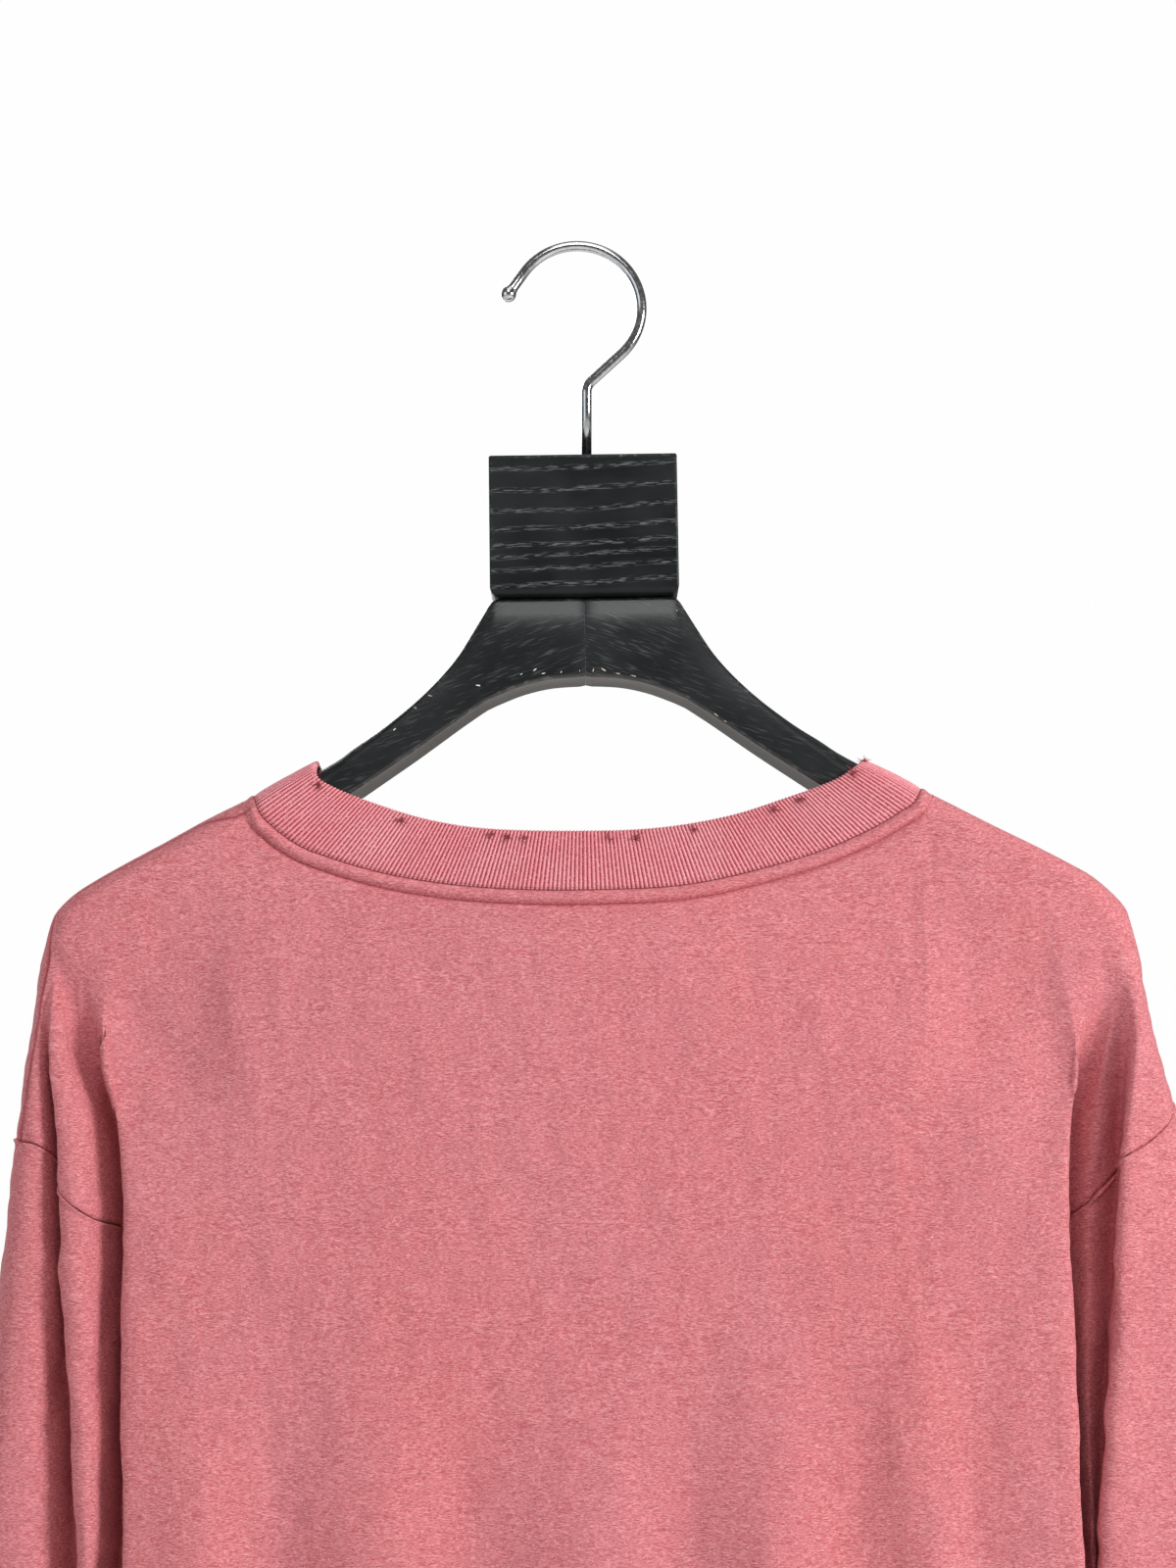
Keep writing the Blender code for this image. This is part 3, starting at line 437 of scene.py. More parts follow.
class Form:
    """The outer surface of one face of the shirt, the same as the solids'."""

    def __init__(self, face: Face) -> None:
        """Picks the face's own folds, fullness and neck seam.

        Args:
            face: The face of the shirt.
        """
        self.face = face
        back = face is Face.BACK
        self.folds = BACK_BODY_FOLDS if back else FRONT_BODY_FOLDS
        self.full = (BACK_FULL if back else FRONT_FULL)[::-1]
        self.seam = BACK_SEAM if back else FRONT_SEAM
        self.rib_top = BACK_RIB_TOP if back else FRONT_RIB_TOP

    def line(self, side: Side, index: int, z: Array) -> tuple[Array, Array]:
        """How far out and how deep one fold line lies at heights z.

        Args:
            side: The shirt's side.
            index: Which fold line.
            z: The heights.

        Returns:
            The way out from the middle, and the depth.
        """
        row = FOLDS[side][index]
        out, depth = by_height(row.out, z), by_height(row.depth, z)
        if self.face is Face.FRONT:
            hung = soft((HEIGHTS[0] - z) / SETTLE)
            out = out + FRONT_SHIFT[index] * hung
            depth = depth * (1.0 + (FRONT_FULLER - 1) * hung)
        return out, np.maximum(depth, 0)

    def top(self, x: Array) -> Array:
        """Height of the panel's upper edge over x."""
        in_neck = (x > NECK_POINT[LEFT][0]) & (x < NECK_POINT[RIGHT][0])
        return np.where(in_neck, curve(*zip(*self.seam), x), shoulder_z(x))

    def body_x(self, s: Array, z: Array | float) -> Array:
        """Place across of the body's columns s, from -1 to 1, at heights z."""
        left, right = (self.line(side, EDGE, z)[0] for side in Side)
        return -left + (left + right) * (s + 1) / 2

    def column_at(self, x: Array) -> Array:
        """The body's columns, from -1 to 1, at places x across under the shoulder line."""
        start, end = self.ends()
        return 2 * (x - start) / (end - start) - 1

    def ends(self) -> tuple[float, float]:
        """Where the body's first and last columns lie under the shoulder line."""
        return tuple(float(self.body_x(np.array(s), HEIGHTS[0])) for s in (-1, 1))

    def hung_depth(self, x: Array, z: Array, low: Array) -> Array:
        """Depth that runs from the shoulder line over the roll down to a low depth."""
        near, drop = roll_depth(x), shoulder_z(x) - z
        return (near + (low - near) * soft(drop / SETTLE)) * roll(drop)

    def body_points(self, s: Array, z: Array) -> Array:
        """Points of the body at columns s and heights z, which share a shape.

        Args:
            s: The columns.
            z: Their heights.

        Returns:
            The points.
        """
        x = self.body_x(s, z)
        low = curve(*zip(*self.full), z)
        left, right = (self.line(side, EDGE, z)[1] for side in Side)
        low = low + (np.where(s < 0, left, right) - low) * np.abs(s) ** EDGE_POWER
        inner = 1 - np.abs(s) ** FADE_POWER
        for fold in self.folds:
            t = (z - FOLD_FOOT_Z) / (HEM_Z - FOLD_FOOT_Z)
            off = (x - fold.foot_x - (fold.hem_x - fold.foot_x) * t) / fold.half_width
            grown = soft((fold.start_z - z) / FOLD_GROWS)
            low = low + fold.height * grown * np.exp(-off * off * FOLD_SHARPNESS) * inner
        depth = self.hung_depth(x, z, low) + HALF_GAP
        return np.stack([x, self.face * depth, np.broadcast_to(z, x.shape)], axis=-1)

    def side_points(self, side: Side, u: Array, z: Array) -> Array:
        """Points of the side's folds at columns u, one for each column of z.

        Args:
            side: The shirt's side.
            u: Its columns.
            z: Rows and columns of heights.

        Returns:
            The points.
        """
        lines = np.array([self.line(side, k, z) for k in range(EDGE + 1)])
        mirrored = lines[1] * np.array((1, -1))[:, None, None]
        inner = lines[EDGE] + np.array((-PAST_EDGE[0], PAST_EDGE[1]))[:, None, None]
        out, depth = through(np.stack([mirrored, *lines, inner]), u + 1)
        drop = side_top(side, u) - z
        depth = np.maximum(depth, 0) * roll(drop) + HALF_GAP
        return np.stack([side * out, self.face * depth, z], axis=-1)

    def band_points(self, x: Array, z: Array) -> Array:
        """Points of the smooth surface that runs on from the panel to the rib."""
        depth = self.hung_depth(x, z, curve(*zip(*self.full), z))
        return np.stack([x, self.face * depth, z], axis=-1)


def side_top(side: Side, u: Array) -> Array:
    """Height where the side's columns leave the shoulder line."""
    outs = np.repeat([[row.out[0]] for row in FOLDS[side]], len(u), axis=1)
    return shoulder_z(side * through(outs, np.minimum(u, EDGE)))


def seam_z(side: Side, u: Array) -> Array:
    """Height of the sleeve seam at columns u; it dives behind the body's edge.

    Args:
        side: The shirt's side.
        u: Its columns.

    Returns:
        A height for each column.
    """
    seam = np.array([row.seam for row in FOLDS[side]])
    seam[VALLEY:] = SEAM_HANG[side]
    shown = through(np.repeat(seam[:, None], len(u), axis=1), np.minimum(u, VALLEY))
    dive = np.clip(u - VALLEY + 1, 0, 1) ** SEAM_DIVE
    return shown + (UNDERARM_Z - SEAM_HANG[side]) * dive


def fold_columns() -> Array:
    """Columns from a side's outer edge to its valley, closer at the edge and at the dive.

    Returns:
        The columns.
    """
    outer = np.linspace(0, 1, 17)[:-1]
    even = np.linspace(1, VALLEY - 1, 33)[:-1]
    dive = VALLEY - 1 + np.sin(np.linspace(0, math.pi / 2, 16))
    return np.concatenate([outer, even, dive])


def painted_fold_shade(side: Side, u: Array, z: Array) -> Array:
    """How much painted shade darkens the cloth inside the folds, from 0 to 1."""
    folds = sum(amount * swell(u - middle, half) for middle, half, amount in PAINTED_FOLD_SHADES[side])
    return folds * ramp(z, PAINTED_SHADE_BEGIN, PAINTED_SHADE_FULL)


# ---- shading
class Shader:
    """A Principled material under construction."""

    def __init__(self, name: str) -> None:
        """Starts a named material with its Principled node.

        Args:
            name: The material's name.
        """
        self.material = bpy.data.materials.new(name)
        self.material.use_nodes = True
        self.nodes = self.material.node_tree.nodes
        self.links = self.material.node_tree.links
        self.principled = self.nodes["Principled BSDF"]

    def feed(self, socket: Socket, value: object) -> None:
        """Links a socket to a node's input, or sets the input's plain value.

        Args:
            socket: The input.
            value: An output socket or a plain value.
        """
        if isinstance(value, Socket):
            self.links.new(value, socket)
        else:
            socket.default_value = value

    def node(
        self, kind: str, output: str | int = 0, settings: dict | None = None, **inputs: object,
    ) -> Socket:
        """Adds a node and returns one of its outputs.

        Args:
            kind: The node's type.
            output: Which output to return.
            settings: Attributes to set on the node.
            **inputs: Values or sockets by input name, with _ for a space, or i0, i1 by number.

        Returns:
            The output socket.
        """
        node = self.nodes.new(kind)
        for key, value in (settings or {}).items():
            setattr(node, key, value)
        for key, value in inputs.items():
            numbered = key[0] == "i" and key[1:].isdigit()
            self.feed(node.inputs[int(key[1:]) if numbered else key.replace("_", " ")], value)
        return node.outputs[output]

    def scaled(self, vector: Socket, scale: Triple) -> Socket:
        """Coordinates times a scale."""
        return self.node("ShaderNodeMapping", Vector=vector, Scale=scale)

    def place(self, scale: Triple = (1, 1, 1), turn: float = 0) -> Socket:
        """Object coordinates, turned about Y and then scaled.

        Args:
            scale: How fine a pattern on them is along each axis.
            turn: The angle about Y.

        Returns:
            The coordinates.
        """
        place = self.node("ShaderNodeTexCoord", "Object")
        if turn:
            place = self.node("ShaderNodeMapping", Vector=place, Rotation=(0, turn, 0))
        return self.scaled(place, scale)

    def noise(self, vector: Socket, scale: float = 1, detail: float = 2, rough: float = 0.5) -> Socket:
        """Noise from 0 to 1."""
        return self.node("ShaderNodeTexNoise", Vector=vector, Scale=scale, Detail=detail, Roughness=rough)

    def span(self, value: Socket, low: float, high: float, start: float = 0, end: float = 1) -> Socket:
        """Stretches low to high over start to end, held at the ends."""
        return self.node(
            "ShaderNodeMapRange", i0=value, i1=low, i2=high, i3=start, i4=end,
            settings={"interpolation_type": "SMOOTHSTEP"},
        )

    def maths(self, operation: str, a: Socket | float, b: Socket | float = 0) -> Socket:
        """One step of arithmetic."""
        return self.node("ShaderNodeMath", i0=a, i1=b, settings={"operation": operation})

    def times(self, a: Socket | float, b: Socket | float) -> Socket:
        """The product of two values."""
        return self.maths("MULTIPLY", a, b)

    def mix(self, share: Socket, a: Socket | Colour, b: Socket | Colour) -> Socket:
        """A colour between a and b."""
        return self.node("ShaderNodeMix", 2, i0=share, i6=a, i7=b, settings={"data_type": "RGBA"})

    def mark(self, name: str) -> Socket:
        """The value of a mesh's own attribute."""
        return self.node("ShaderNodeAttribute", "Fac", settings={"attribute_name": name})

    def bump(self, height: Socket, depth: float, strength: float = 1, **under: Socket) -> Socket:
        """A bump of that many millimetres, over a Normal if one is given."""
        return self.node("ShaderNodeBump", Height=height, Distance=depth * MM, Strength=strength, **under)

    def finish(self, **inputs: object) -> Material:
        """Feeds the Principled node.

        Args:
            **inputs: Values or sockets by input name, with _ for a space.

        Returns:
            The finished material.
        """
        for key, value in inputs.items():
            self.feed(self.principled.inputs[key.replace("_", " ")], value)
        return self.material


@dataclass(frozen=True)
class JerseyFinish:
    """Brushed cotton jersey: mottled pink with a short crinkled nap."""

    name: str = "brushed_jersey"
    deep: Colour = (0.420, 0.074, 0.090, 1)
    mid: Colour = (0.642, 0.192, 0.212, 1)
    pale: Colour = (0.900, 0.430, 0.445, 1)
    washed: Colour = (0.648, 0.219, 0.244, 1)
    warm: Colour = (0.705, 0.190, 0.193, 1)
    # The seam colour darkens seam lines and is also painted shade deep in the folds and under the neck
    # puff.
    seam: Colour = (0.400, 0.044, 0.060, 1)
    crinkle: Triple = (560, 560, 2700)
    fine: Triple = (1300, 1300, 2900)
    lines: Triple = (120, 120, 1000)
    drift: float = 0.0020

    def material(self) -> Material:
        """Builds the cloth's material.

        Returns:
            The material.
        """
        s = Shader(self.name)
        plain = s.place()
        wide = s.noise(plain, 11, 3)
        streaks = s.noise(s.place((22, 22, 7)), 1, 2)
        blotches = s.noise(plain, 85, 3)
        drift = s.node("ShaderNodeTexNoise", 1, Vector=plain, Scale=140)
        drift = s.node(
            "ShaderNodeVectorMath", i0=drift, i1=(self.drift,) * 3, settings={"operation": "MULTIPLY"},
        )
        warp = s.node("ShaderNodeVectorMath", Vector=plain, i1=drift)
        crinkle = s.noise(s.scaled(warp, self.crinkle), 1, 2, 0.60)
        fine = s.noise(s.scaled(warp, self.fine), 1, 2)
        colour = s.mix(s.span(wide, 0.34, 0.70, 0, 0.50), self.mid, self.washed)
        colour = s.mix(s.span(streaks, 0.46, 0.72, 0, 0.40), colour, self.warm)
        colour = s.mix(s.span(blotches, 0.40, 0.72, 0, 0.04), colour, self.pale)
        # The lines and crinkles are partly the nap's own tone, partly painted shade in its hollows and
        # painted light on its tops.
        lines = s.noise(s.scaled(warp, self.lines), 1, 3, 0.6)
        colour = s.mix(s.span(lines, 0.50, 0.32, 0, 0.36), colour, self.deep)
        colour = s.mix(s.span(crinkle, 0.51, 0.34, 0, 0.66), colour, self.deep)
        colour = s.mix(s.span(crinkle, 0.52, 0.67, 0, 0.50), colour, self.pale)
        colour = s.mix(s.span(fine, 0.55, 0.72, 0, 0.66), colour, self.pale)
        # Seam lines darken here, together with painted shade in the folds and painted shadow under the neck
        # puff.
        colour = s.mix(s.mark("seam"), colour, self.seam)
        normal = s.bump(lines, 0.35, 0.5)
        normal = s.bump(crinkle, 0.6, 0.9, Normal=normal)
        normal = s.bump(fine, 0.35, 0.7, Normal=normal)
        return s.finish(
            Base_Color=colour, Normal=normal, Roughness=0.92, Specular_IOR_Level=0.12,
            Sheen_Weight=0.08, Sheen_Roughness=0.45, Sheen_Tint=(1, 0.78, 0.80, 1),
        )


@dataclass(frozen=True)
class RibFinish:
    """1x1 rib knit: paler on the ribs, deep red between them, as painted highlight on the crests and
    painted shade in the grooves.
    """

    name: str = "rib_knit"
    loop: float = 0.9
    deep: Colour = (0.340, 0.045, 0.062, 1)
    mid: Colour = (0.780, 0.270, 0.300, 1)
    pale: Colour = (0.880, 0.470, 0.510, 1)

    def material(self) -> Material:
        """Builds the rib's material, which follows its UV map: ribs across, millimetres up.

        Returns:
            The material.
        """
        s = Shader(self.name)
        uv = s.node("ShaderNodeUVMap", settings={"uv_map": "rib"})
        across = s.node("ShaderNodeSeparateXYZ", i0=uv)
        up = across.node.outputs[1]
        phase = s.times(across, 2 * math.pi)
        crest = s.span(s.maths("COSINE", phase), -1, 0.35)
        loops = s.maths("SINE", s.times(up, 2 * math.pi / self.loop))
        loops = s.span(loops, -1, 1)
        plain = s.place()
        patches = s.span(s.noise(plain, 40, 3), 0.3, 0.7)
        flecks = s.noise(plain, 1500, 2)
        # Painted shade in the grooves between the ribs, with patches of painted highlight on their crests.
        colour = s.mix(crest, self.deep, self.mid)
        colour = s.mix(s.times(s.times(patches, crest), 0.35), colour, self.pale)
        colour = s.mix(s.span(flecks, 0.52, 0.74, 0, 0.65), colour, self.pale)
        colour = s.mix(s.span(flecks, 0.44, 0.26, 0, 0.6), colour, self.deep)
        normal = s.bump(loops, 0.14, 0.6)
        normal = s.bump(flecks, 0.18, 0.6, Normal=normal)
        return s.finish(
            Base_Color=colour, Normal=normal, Roughness=0.9, Specular_IOR_Level=0.18,
            Sheen_Weight=0.18, Sheen_Roughness=0.45, Sheen_Tint=(1, 0.78, 0.78, 1),
        )


@dataclass(frozen=True)
class ThreadFinish:
    """Spun thread, in the colour of the cloth, or a deeper red whose darkness is painted shade in the rib's
    nicks.
    """

    name: str
    light: Colour
    dark: Colour

    def material(self) -> Material:
        """Builds the thread's material.

        Returns:
            The material.
        """
        s = Shader(self.name)
        fibres = s.noise(s.place(), 2600, 2)
        colour = s.mix(s.span(fibres, 0.35, 0.65), self.dark, self.light)
        normal = s.bump(fibres, 0.1, 0.6)
        return s.finish(
            Base_Color=colour, Normal=normal, Roughness=0.75, Specular_IOR_Level=0.3,
            Sheen_Weight=0.3, Sheen_Roughness=0.4, Sheen_Tint=(1, 0.8, 0.8, 1),
        )


@dataclass(frozen=True)
class OpenGrainFinish:
    """Black-stained open-grain wood, worn pale along its edges."""

    name: str
    turn: float
    bands: tuple[float, ...] = ()
    stroke: Triple = ARM_STROKE
    clouds: Triple = (26, 26, 160)
    fibres: Triple = (60, 900, 900)
    stain: Colour = (0.0045, 0.0056, 0.0062, 1)
    lighter: Colour = (0.0120, 0.0140, 0.0150, 1)
    pore: Colour = (0.120, 0.127, 0.131, 1)
    worn: Colour = (0.130, 0.132, 0.130, 1)
    # Painted bounce light on the faces that look down.
    painted_underside_light: Colour = (0.070, 0.058, 0.047, 1)
    coat: float = 0.75
    band_top: float = -87.7
    band_reach: float = 64.0
    band_width: float = 1.35
    band_rise: float = 1.4
    band_run: float = 40.0
    band_sway: float = 2.2

    def banded(self, s: Shader, place: Socket, strokes: Socket) -> Socket:
        """Keeps the strokes to the growth bands, which rise towards one side.

        Args:
            s: The material under construction.
            place: Coordinates along the grain.
            strokes: The pores' strokes.

        Returns:
            The strokes that are left.
        """
        across = s.node("ShaderNodeSeparateXYZ", i0=place)
        height = across.node.outputs[2]
        rise = s.span(across, 0, self.band_run * MM, 0, self.band_rise * MM)
        sway = s.times(s.noise(place, 45, 1), self.band_sway * MM)
        low = s.maths("SUBTRACT", height, sway)
        drop = s.maths("SUBTRACT", s.maths("ADD", rise, self.band_top * MM), low)
        share = s.maths("DIVIDE", drop, self.band_reach * MM)
        ramp_node = s.nodes.new("ShaderNodeValToRGB")
        stops = ramp_node.color_ramp
        while len(stops.elements) > 1:
            stops.elements.remove(stops.elements[-1])
        stops.elements[0].color = (0, 0, 0, 1)
        for band in self.bands:
            for shift, level in ((-self.band_width, 0), (0, 1), (self.band_width, 0)):
                stop = stops.elements.new((band + shift) / self.band_reach)
                stop.color = (level, level, level, 1)
        s.links.new(share, ramp_node.inputs[0])
        return s.times(strokes, ramp_node.outputs[0])

    def material(self) -> Material:
        """Builds the wood's material; the grain runs along X, turned about Y.

        Returns:
            The material.
        """
        s = Shader(self.name)
        place = s.place(turn=self.turn)
        strokes = s.noise(s.scaled(place, self.stroke), 1, 1, 0.5)
        long_cloud = s.noise(s.scaled(place, self.clouds), 1, 2)
        if self.bands:
            pores = self.banded(s, place, s.span(strokes, 0.50, 0.58))
        else:
            spread = s.times(s.span(long_cloud, 0.40, 0.60, 0.2, 0.8), s.span(strokes, 0.56, 0.68))
            pores = s.maths("MAXIMUM", spread, s.span(strokes, 0.70, 0.76))
        cloud = s.noise(place, 30, 3)
        colour = s.mix(s.span(cloud, 0.35, 0.7), self.stain, self.lighter)
        colour = s.mix(s.times(s.span(long_cloud, 0.45, 0.7), 0.5), colour, self.lighter)
        colour = s.mix(s.times(pores, 0.95 if self.bands else 0.42), colour, self.pore)
        # Faces that look down get a paler brown: painted bounce light from below.
        facing = s.node("ShaderNodeSeparateXYZ", 2, i0=s.node("ShaderNodeNewGeometry", "Normal"))
        fibre = s.noise(s.scaled(place, self.fibres), 1, 3)
        under = s.times(s.span(facing, -0.45, -0.85), s.span(fibre, 0.2, 0.7, 0.55, 1))
        if not self.bands:
            colour = s.mix(under, colour, self.painted_underside_light)
        rub = s.span(s.noise(place, 230, 3, 0.7), 0.53, 0.68)
        colour = s.mix(s.times(s.times(s.mark("edge"), rub), 0.6), colour, self.worn)
        normal = s.bump(s.maths("SUBTRACT", 1, pores), 0.18, 0.8)
        normal = s.bump(strokes, 0.10, 0.4, Normal=normal)
        return s.finish(
            Base_Color=colour, Normal=normal, Roughness=s.span(cloud, 0.3, 0.75, 0.36, 0.48),
            Specular_IOR_Level=0.24, Coat_Weight=self.coat, Coat_Roughness=0.3,
        )


@dataclass(frozen=True)
class WireFinish:
    """Polished plated wire with faint drawing marks."""

    name: str = "plated_wire"

    def material(self) -> Material:
        """Builds the wire's material.

        Returns:
            The material.
        """
        s = Shader(self.name)
        marks = s.noise(s.place(), 700, 3)
        colour = s.mix(s.span(marks, 0.3, 0.7), (0.50, 0.51, 0.53, 1), (0.66, 0.66, 0.67, 1))
        return s.finish(
            Base_Color=colour, Metallic=1, Roughness=s.span(marks, 0.3, 0.7, 0.10, 0.20),
            Normal=s.bump(marks, 0.01, 0.4),
        )


@dataclass(frozen=True)
class BareWoodFinish:
    """Pale bare wood where the stain has chipped off."""

    name: str = "chipped_wood"

    def material(self) -> Material:
        """Builds the chips' material.

        Returns:
            The material.
        """
        s = Shader(self.name)
        fibres = s.noise(s.place((400, 400, 1800)), 1, 2)
        colour = s.mix(s.span(fibres, 0.35, 0.65), (0.42, 0.36, 0.29, 1), (0.78, 0.72, 0.63, 1))
        return s.finish(Base_Color=colour, Roughness=0.7, Normal=s.bump(fibres, 0.1))


class Finishes:
    """Every finish, made once."""

    def __init__(self) -> None:
        """Builds all the materials."""
        self.jersey = JerseyFinish().material()
        self.rib = RibFinish().material()
        self.thread = ThreadFinish(
            "sewing_thread", (0.72, 0.24, 0.27, 1), (0.50, 0.11, 0.14, 1)).material()
        # The frayed yarn's dark red is painted shade for the nicks in the rib's edge.
        self.fray_and_nick_shade = ThreadFinish(
            "frayed_yarn", (0.50, 0.09, 0.12, 1), (0.15, 0.012, 0.024, 1)).material()
        self.block = OpenGrainFinish("block_wood", BLOCK_TURN, BLOCK_BANDS, BLOCK_STROKE, coat=0).material()
        self.arms = {
            LEFT: OpenGrainFinish("left_arm_wood", ARM_TURN).material(),
            RIGHT: OpenGrainFinish("right_arm_wood", -ARM_TURN).material(),
        }
        self.wire = WireFinish().material()
        self.bare = BareWoodFinish().material()


# ---- meshes
class Weaver:
    """Gathers grids of points into one mesh, with a push along the normals."""

    def __init__(self) -> None:
        """Starts with nothing."""
        self.points: list[Array] = []
        self.pushes: list[Array] = []
        self.marks: list[Array] = []
        self.faces: list[Array] = []
        self.count = 0

    def grid(self, points: Array, push: Array | float = 0, mark: Array | float = 0) -> Array:
        """Adds a grid of points and returns their numbers.

        Args:
            points: The points.
            push: How far each moves along its normal.
            mark: How much each darkens in a seam, and in painted shade.

        Returns:
            The points' numbers, in the grid's shape.
        """
        shape = points.shape[:-1]
        self.marks.append(np.broadcast_to(mark, shape).reshape(-1).astype(np.float32))
        self.points.append(points.reshape(-1, 3))
        self.pushes.append(np.broadcast_to(push, shape).reshape(-1).astype(float))
        numbers = np.arange(self.count, self.count + int(np.prod(shape))).reshape(shape)
        self.count += numbers.size
        return numbers

    def quads(self, numbers: Array, flip: bool) -> None:
        """Adds the quads between neighbouring rows and columns of numbers.

        Args:
            numbers: The points' numbers.
            flip: Whether the faces are turned round.
        """
        a, b = numbers[:-1, :-1], numbers[1:, :-1]
        c, d = numbers[1:, 1:], numbers[:-1, 1:]
        corners = (d, c, b, a) if flip else (a, b, c, d)
        self.faces.append(np.stack([v.reshape(-1) for v in corners], axis=1))

    def tube(self, numbers: Array, flip: bool) -> None:
        """Adds quads as well from the last column back to the first."""
        self.quads(np.concatenate([numbers, numbers[:, :1]], axis=1), flip)

    def mesh(self, name: str) -> Mesh:
        """Makes the mesh, in metres, and moves its points along their normals.

        Args:
            name: The mesh's name.

        Returns:
            The mesh.
        """
        points, faces = np.concatenate(self.points) * MM, np.concatenate(self.faces)
        mesh = bpy.data.meshes.new(name)
        mesh.from_pydata(points.tolist(), [], faces.tolist())
        mesh.update()
        normals = np.zeros(len(points) * 3, np.float32)
        mesh.vertex_normals.foreach_get("vector", normals)
        points = points + normals.reshape(-1, 3) * np.concatenate(self.pushes)[:, None] * MM
        mesh.vertices.foreach_set("co", points.reshape(-1).astype(np.float32))
        # The seam attribute also carries painted shade in the folds and under the neck puff.
        seam = mesh.attributes.new("seam", "FLOAT", "POINT")
        seam.data.foreach_set("value", np.concatenate(self.marks))
        mesh.update()
        mesh.shade_smooth()
        return mesh


def add_piece(name: str, mesh: Mesh, material: Material) -> Piece:
    """Puts a mesh in the scene with its material.

    Args:
        name: The piece's name.
        mesh: Its mesh.
        material: Its finish.

    Returns:
        The piece.
    """
    mesh.materials.clear()
    mesh.materials.append(material)
    piece = bpy.data.objects.new(name, mesh)
    bpy.context.scene.collection.objects.link(piece)
    return piece


def settle_on(points: Array, piece: Piece, lift: float) -> Array:
    """Moves points in millimetres onto a piece's surface, and out of it by lift.

    Args:
        points: The points.
        piece: The piece that they settle on.
        lift: How far above it they end.

    Returns:
        The moved points.
    """
    out = []
    for point in points:
        found, place, normal, _ = piece.closest_point_on_mesh(Vector(point) * MM)
        out.append(np.array(place) / MM + np.array(normal) * lift if found else point)
    return np.array(out)


def ease_columns(points: Array, times: int) -> Array:
    """Rounds folds off by averaging each column with its neighbours.

    Args:
        points: Rows and columns of points.
        times: How often it is done.

    Returns:
        The rounded points.
    """
    for _ in range(times):
        middle = (points[:, :-2] + 2 * points[:, 1:-1] + points[:, 2:]) / 4
        points = np.concatenate([points[:, :1], middle, points[:, -1:]], axis=1)
    return points


def plain_mesh(piece: Piece) -> Mesh:
    """A plain mesh of what a linked piece's curve or modifiers make."""
    bpy.context.view_layer.update()
    return bpy.data.meshes.new_from_object(piece.evaluated_get(bpy.context.evaluated_depsgraph_get()))


def weld(mesh: Mesh, fill: bool = False) -> None:
    """Merges a mesh's doubles and turns its faces outwards.

    Args:
        mesh: The mesh.
        fill: Whether its open ends are closed first.
    """
    shape = bmesh.new()
    shape.from_mesh(mesh)
    if fill:
        bmesh.ops.holes_fill(shape, edges=[e for e in shape.edges if e.is_boundary])
    bmesh.ops.remove_doubles(shape, verts=shape.verts, dist=0.01 * MM)
    bmesh.ops.recalc_face_normals(shape, faces=shape.faces)
    shape.to_mesh(mesh)
    shape.free()


def mark_edges(mesh: Mesh, worn: Sequence[float]) -> None:
    """Keeps each point's wear, from 0 to 1, on the mesh."""
    wear = mesh.attributes.new("edge", "FLOAT", "POINT")
    wear.data.foreach_set("value", worn)


def dress(piece: Piece, slot: Slot, *nodes: str) -> None:
    """Lets a piece ride and hides the nodes that it stands for.

    Args:
        piece: The piece.
        slot: Its material slot; not used.
        *nodes: The nodes that it replaces.
    """
    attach(piece, BODY)
    if nodes:
        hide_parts(*nodes)
    LOG.info("%s: %d points", piece.name, len(piece.data.vertices))


def give_wall(piece: Piece, thickness: float) -> None:
    """Thickens an open shell inwards.

    Args:
        piece: The shell.
        thickness: The wall in millimetres.
    """
    wall = piece.modifiers.new("wall", "SOLIDIFY")
    wall.thickness = thickness * MM
    wall.offset = -1.0
    wall.use_quality_normals = True


# ---- cloth
BACK_CREASES = creases(
    (-200, -276, -180, -338, -4, 4.6), (203, -288, 191, -345, -2, 4.2),
    (-196, -282, -128, -352, -1.6, 9, 4), (-188, -300, -150, -420, 1.2, 8, 5),
    (-120, -262, -176, -300, -0.8, 10, -3), (196, -282, 120, -330, -1.7, 11, -5),
    (186, -300, 138, -400, 1.1, 10, -6), (150, -262, 96, -276, -0.9, 9, 2),
    (-60, -278, 54, -284, 0.7, 12, -4), (-150, -470, -112, -590, 0.9, 9, 3),
    (140, -440, 112, -560, -1, 9, -3), (20, -420, 4, -640, 0.9, 12, 4),
    (-92, -600, -62, -840, -1.1, 13, 5), (78, -560, 96, -860, 1.3, 14, -6),
    (-140, -700, -118, -920, 1.2, 12, 4), (130, -700, 150, -925, -1.2, 12, -4),
    (-20, -690, -36, -920, 1.1, 15, -4), (40, -720, 52, -915, -1, 13, 3),
)
FRONT_CREASES = creases(
    (-192, -286, -120, -362, -1.8, 10, 5), (194, -284, 126, -350, -1.6, 10, -4),
    (-110, -330, -40, -352, -1, 11, -4), (104, -322, 30, -350, 0.9, 11, 5),
    (-176, -320, -140, -460, 1.3, 9, 4), (180, -318, 146, -450, 1.2, 9, -5),
    (-84, -470, -70, -720, 1.1, 13, -5), (6, -440, 20, -640, -1.1, 13, 5),
    (84, -500, 70, -760, 1.2, 13, 4), (-130, -620, -116, -900, -1.3, 12, -4),
    (126, -640, 138, -910, 1.3, 12, 4), (-30, -700, -12, -925, 1.2, 14, 4),
    (44, -740, 36, -920, -1.1, 12, -3), (-60, -344, 60, -350, 0.8, 12, -3),
)


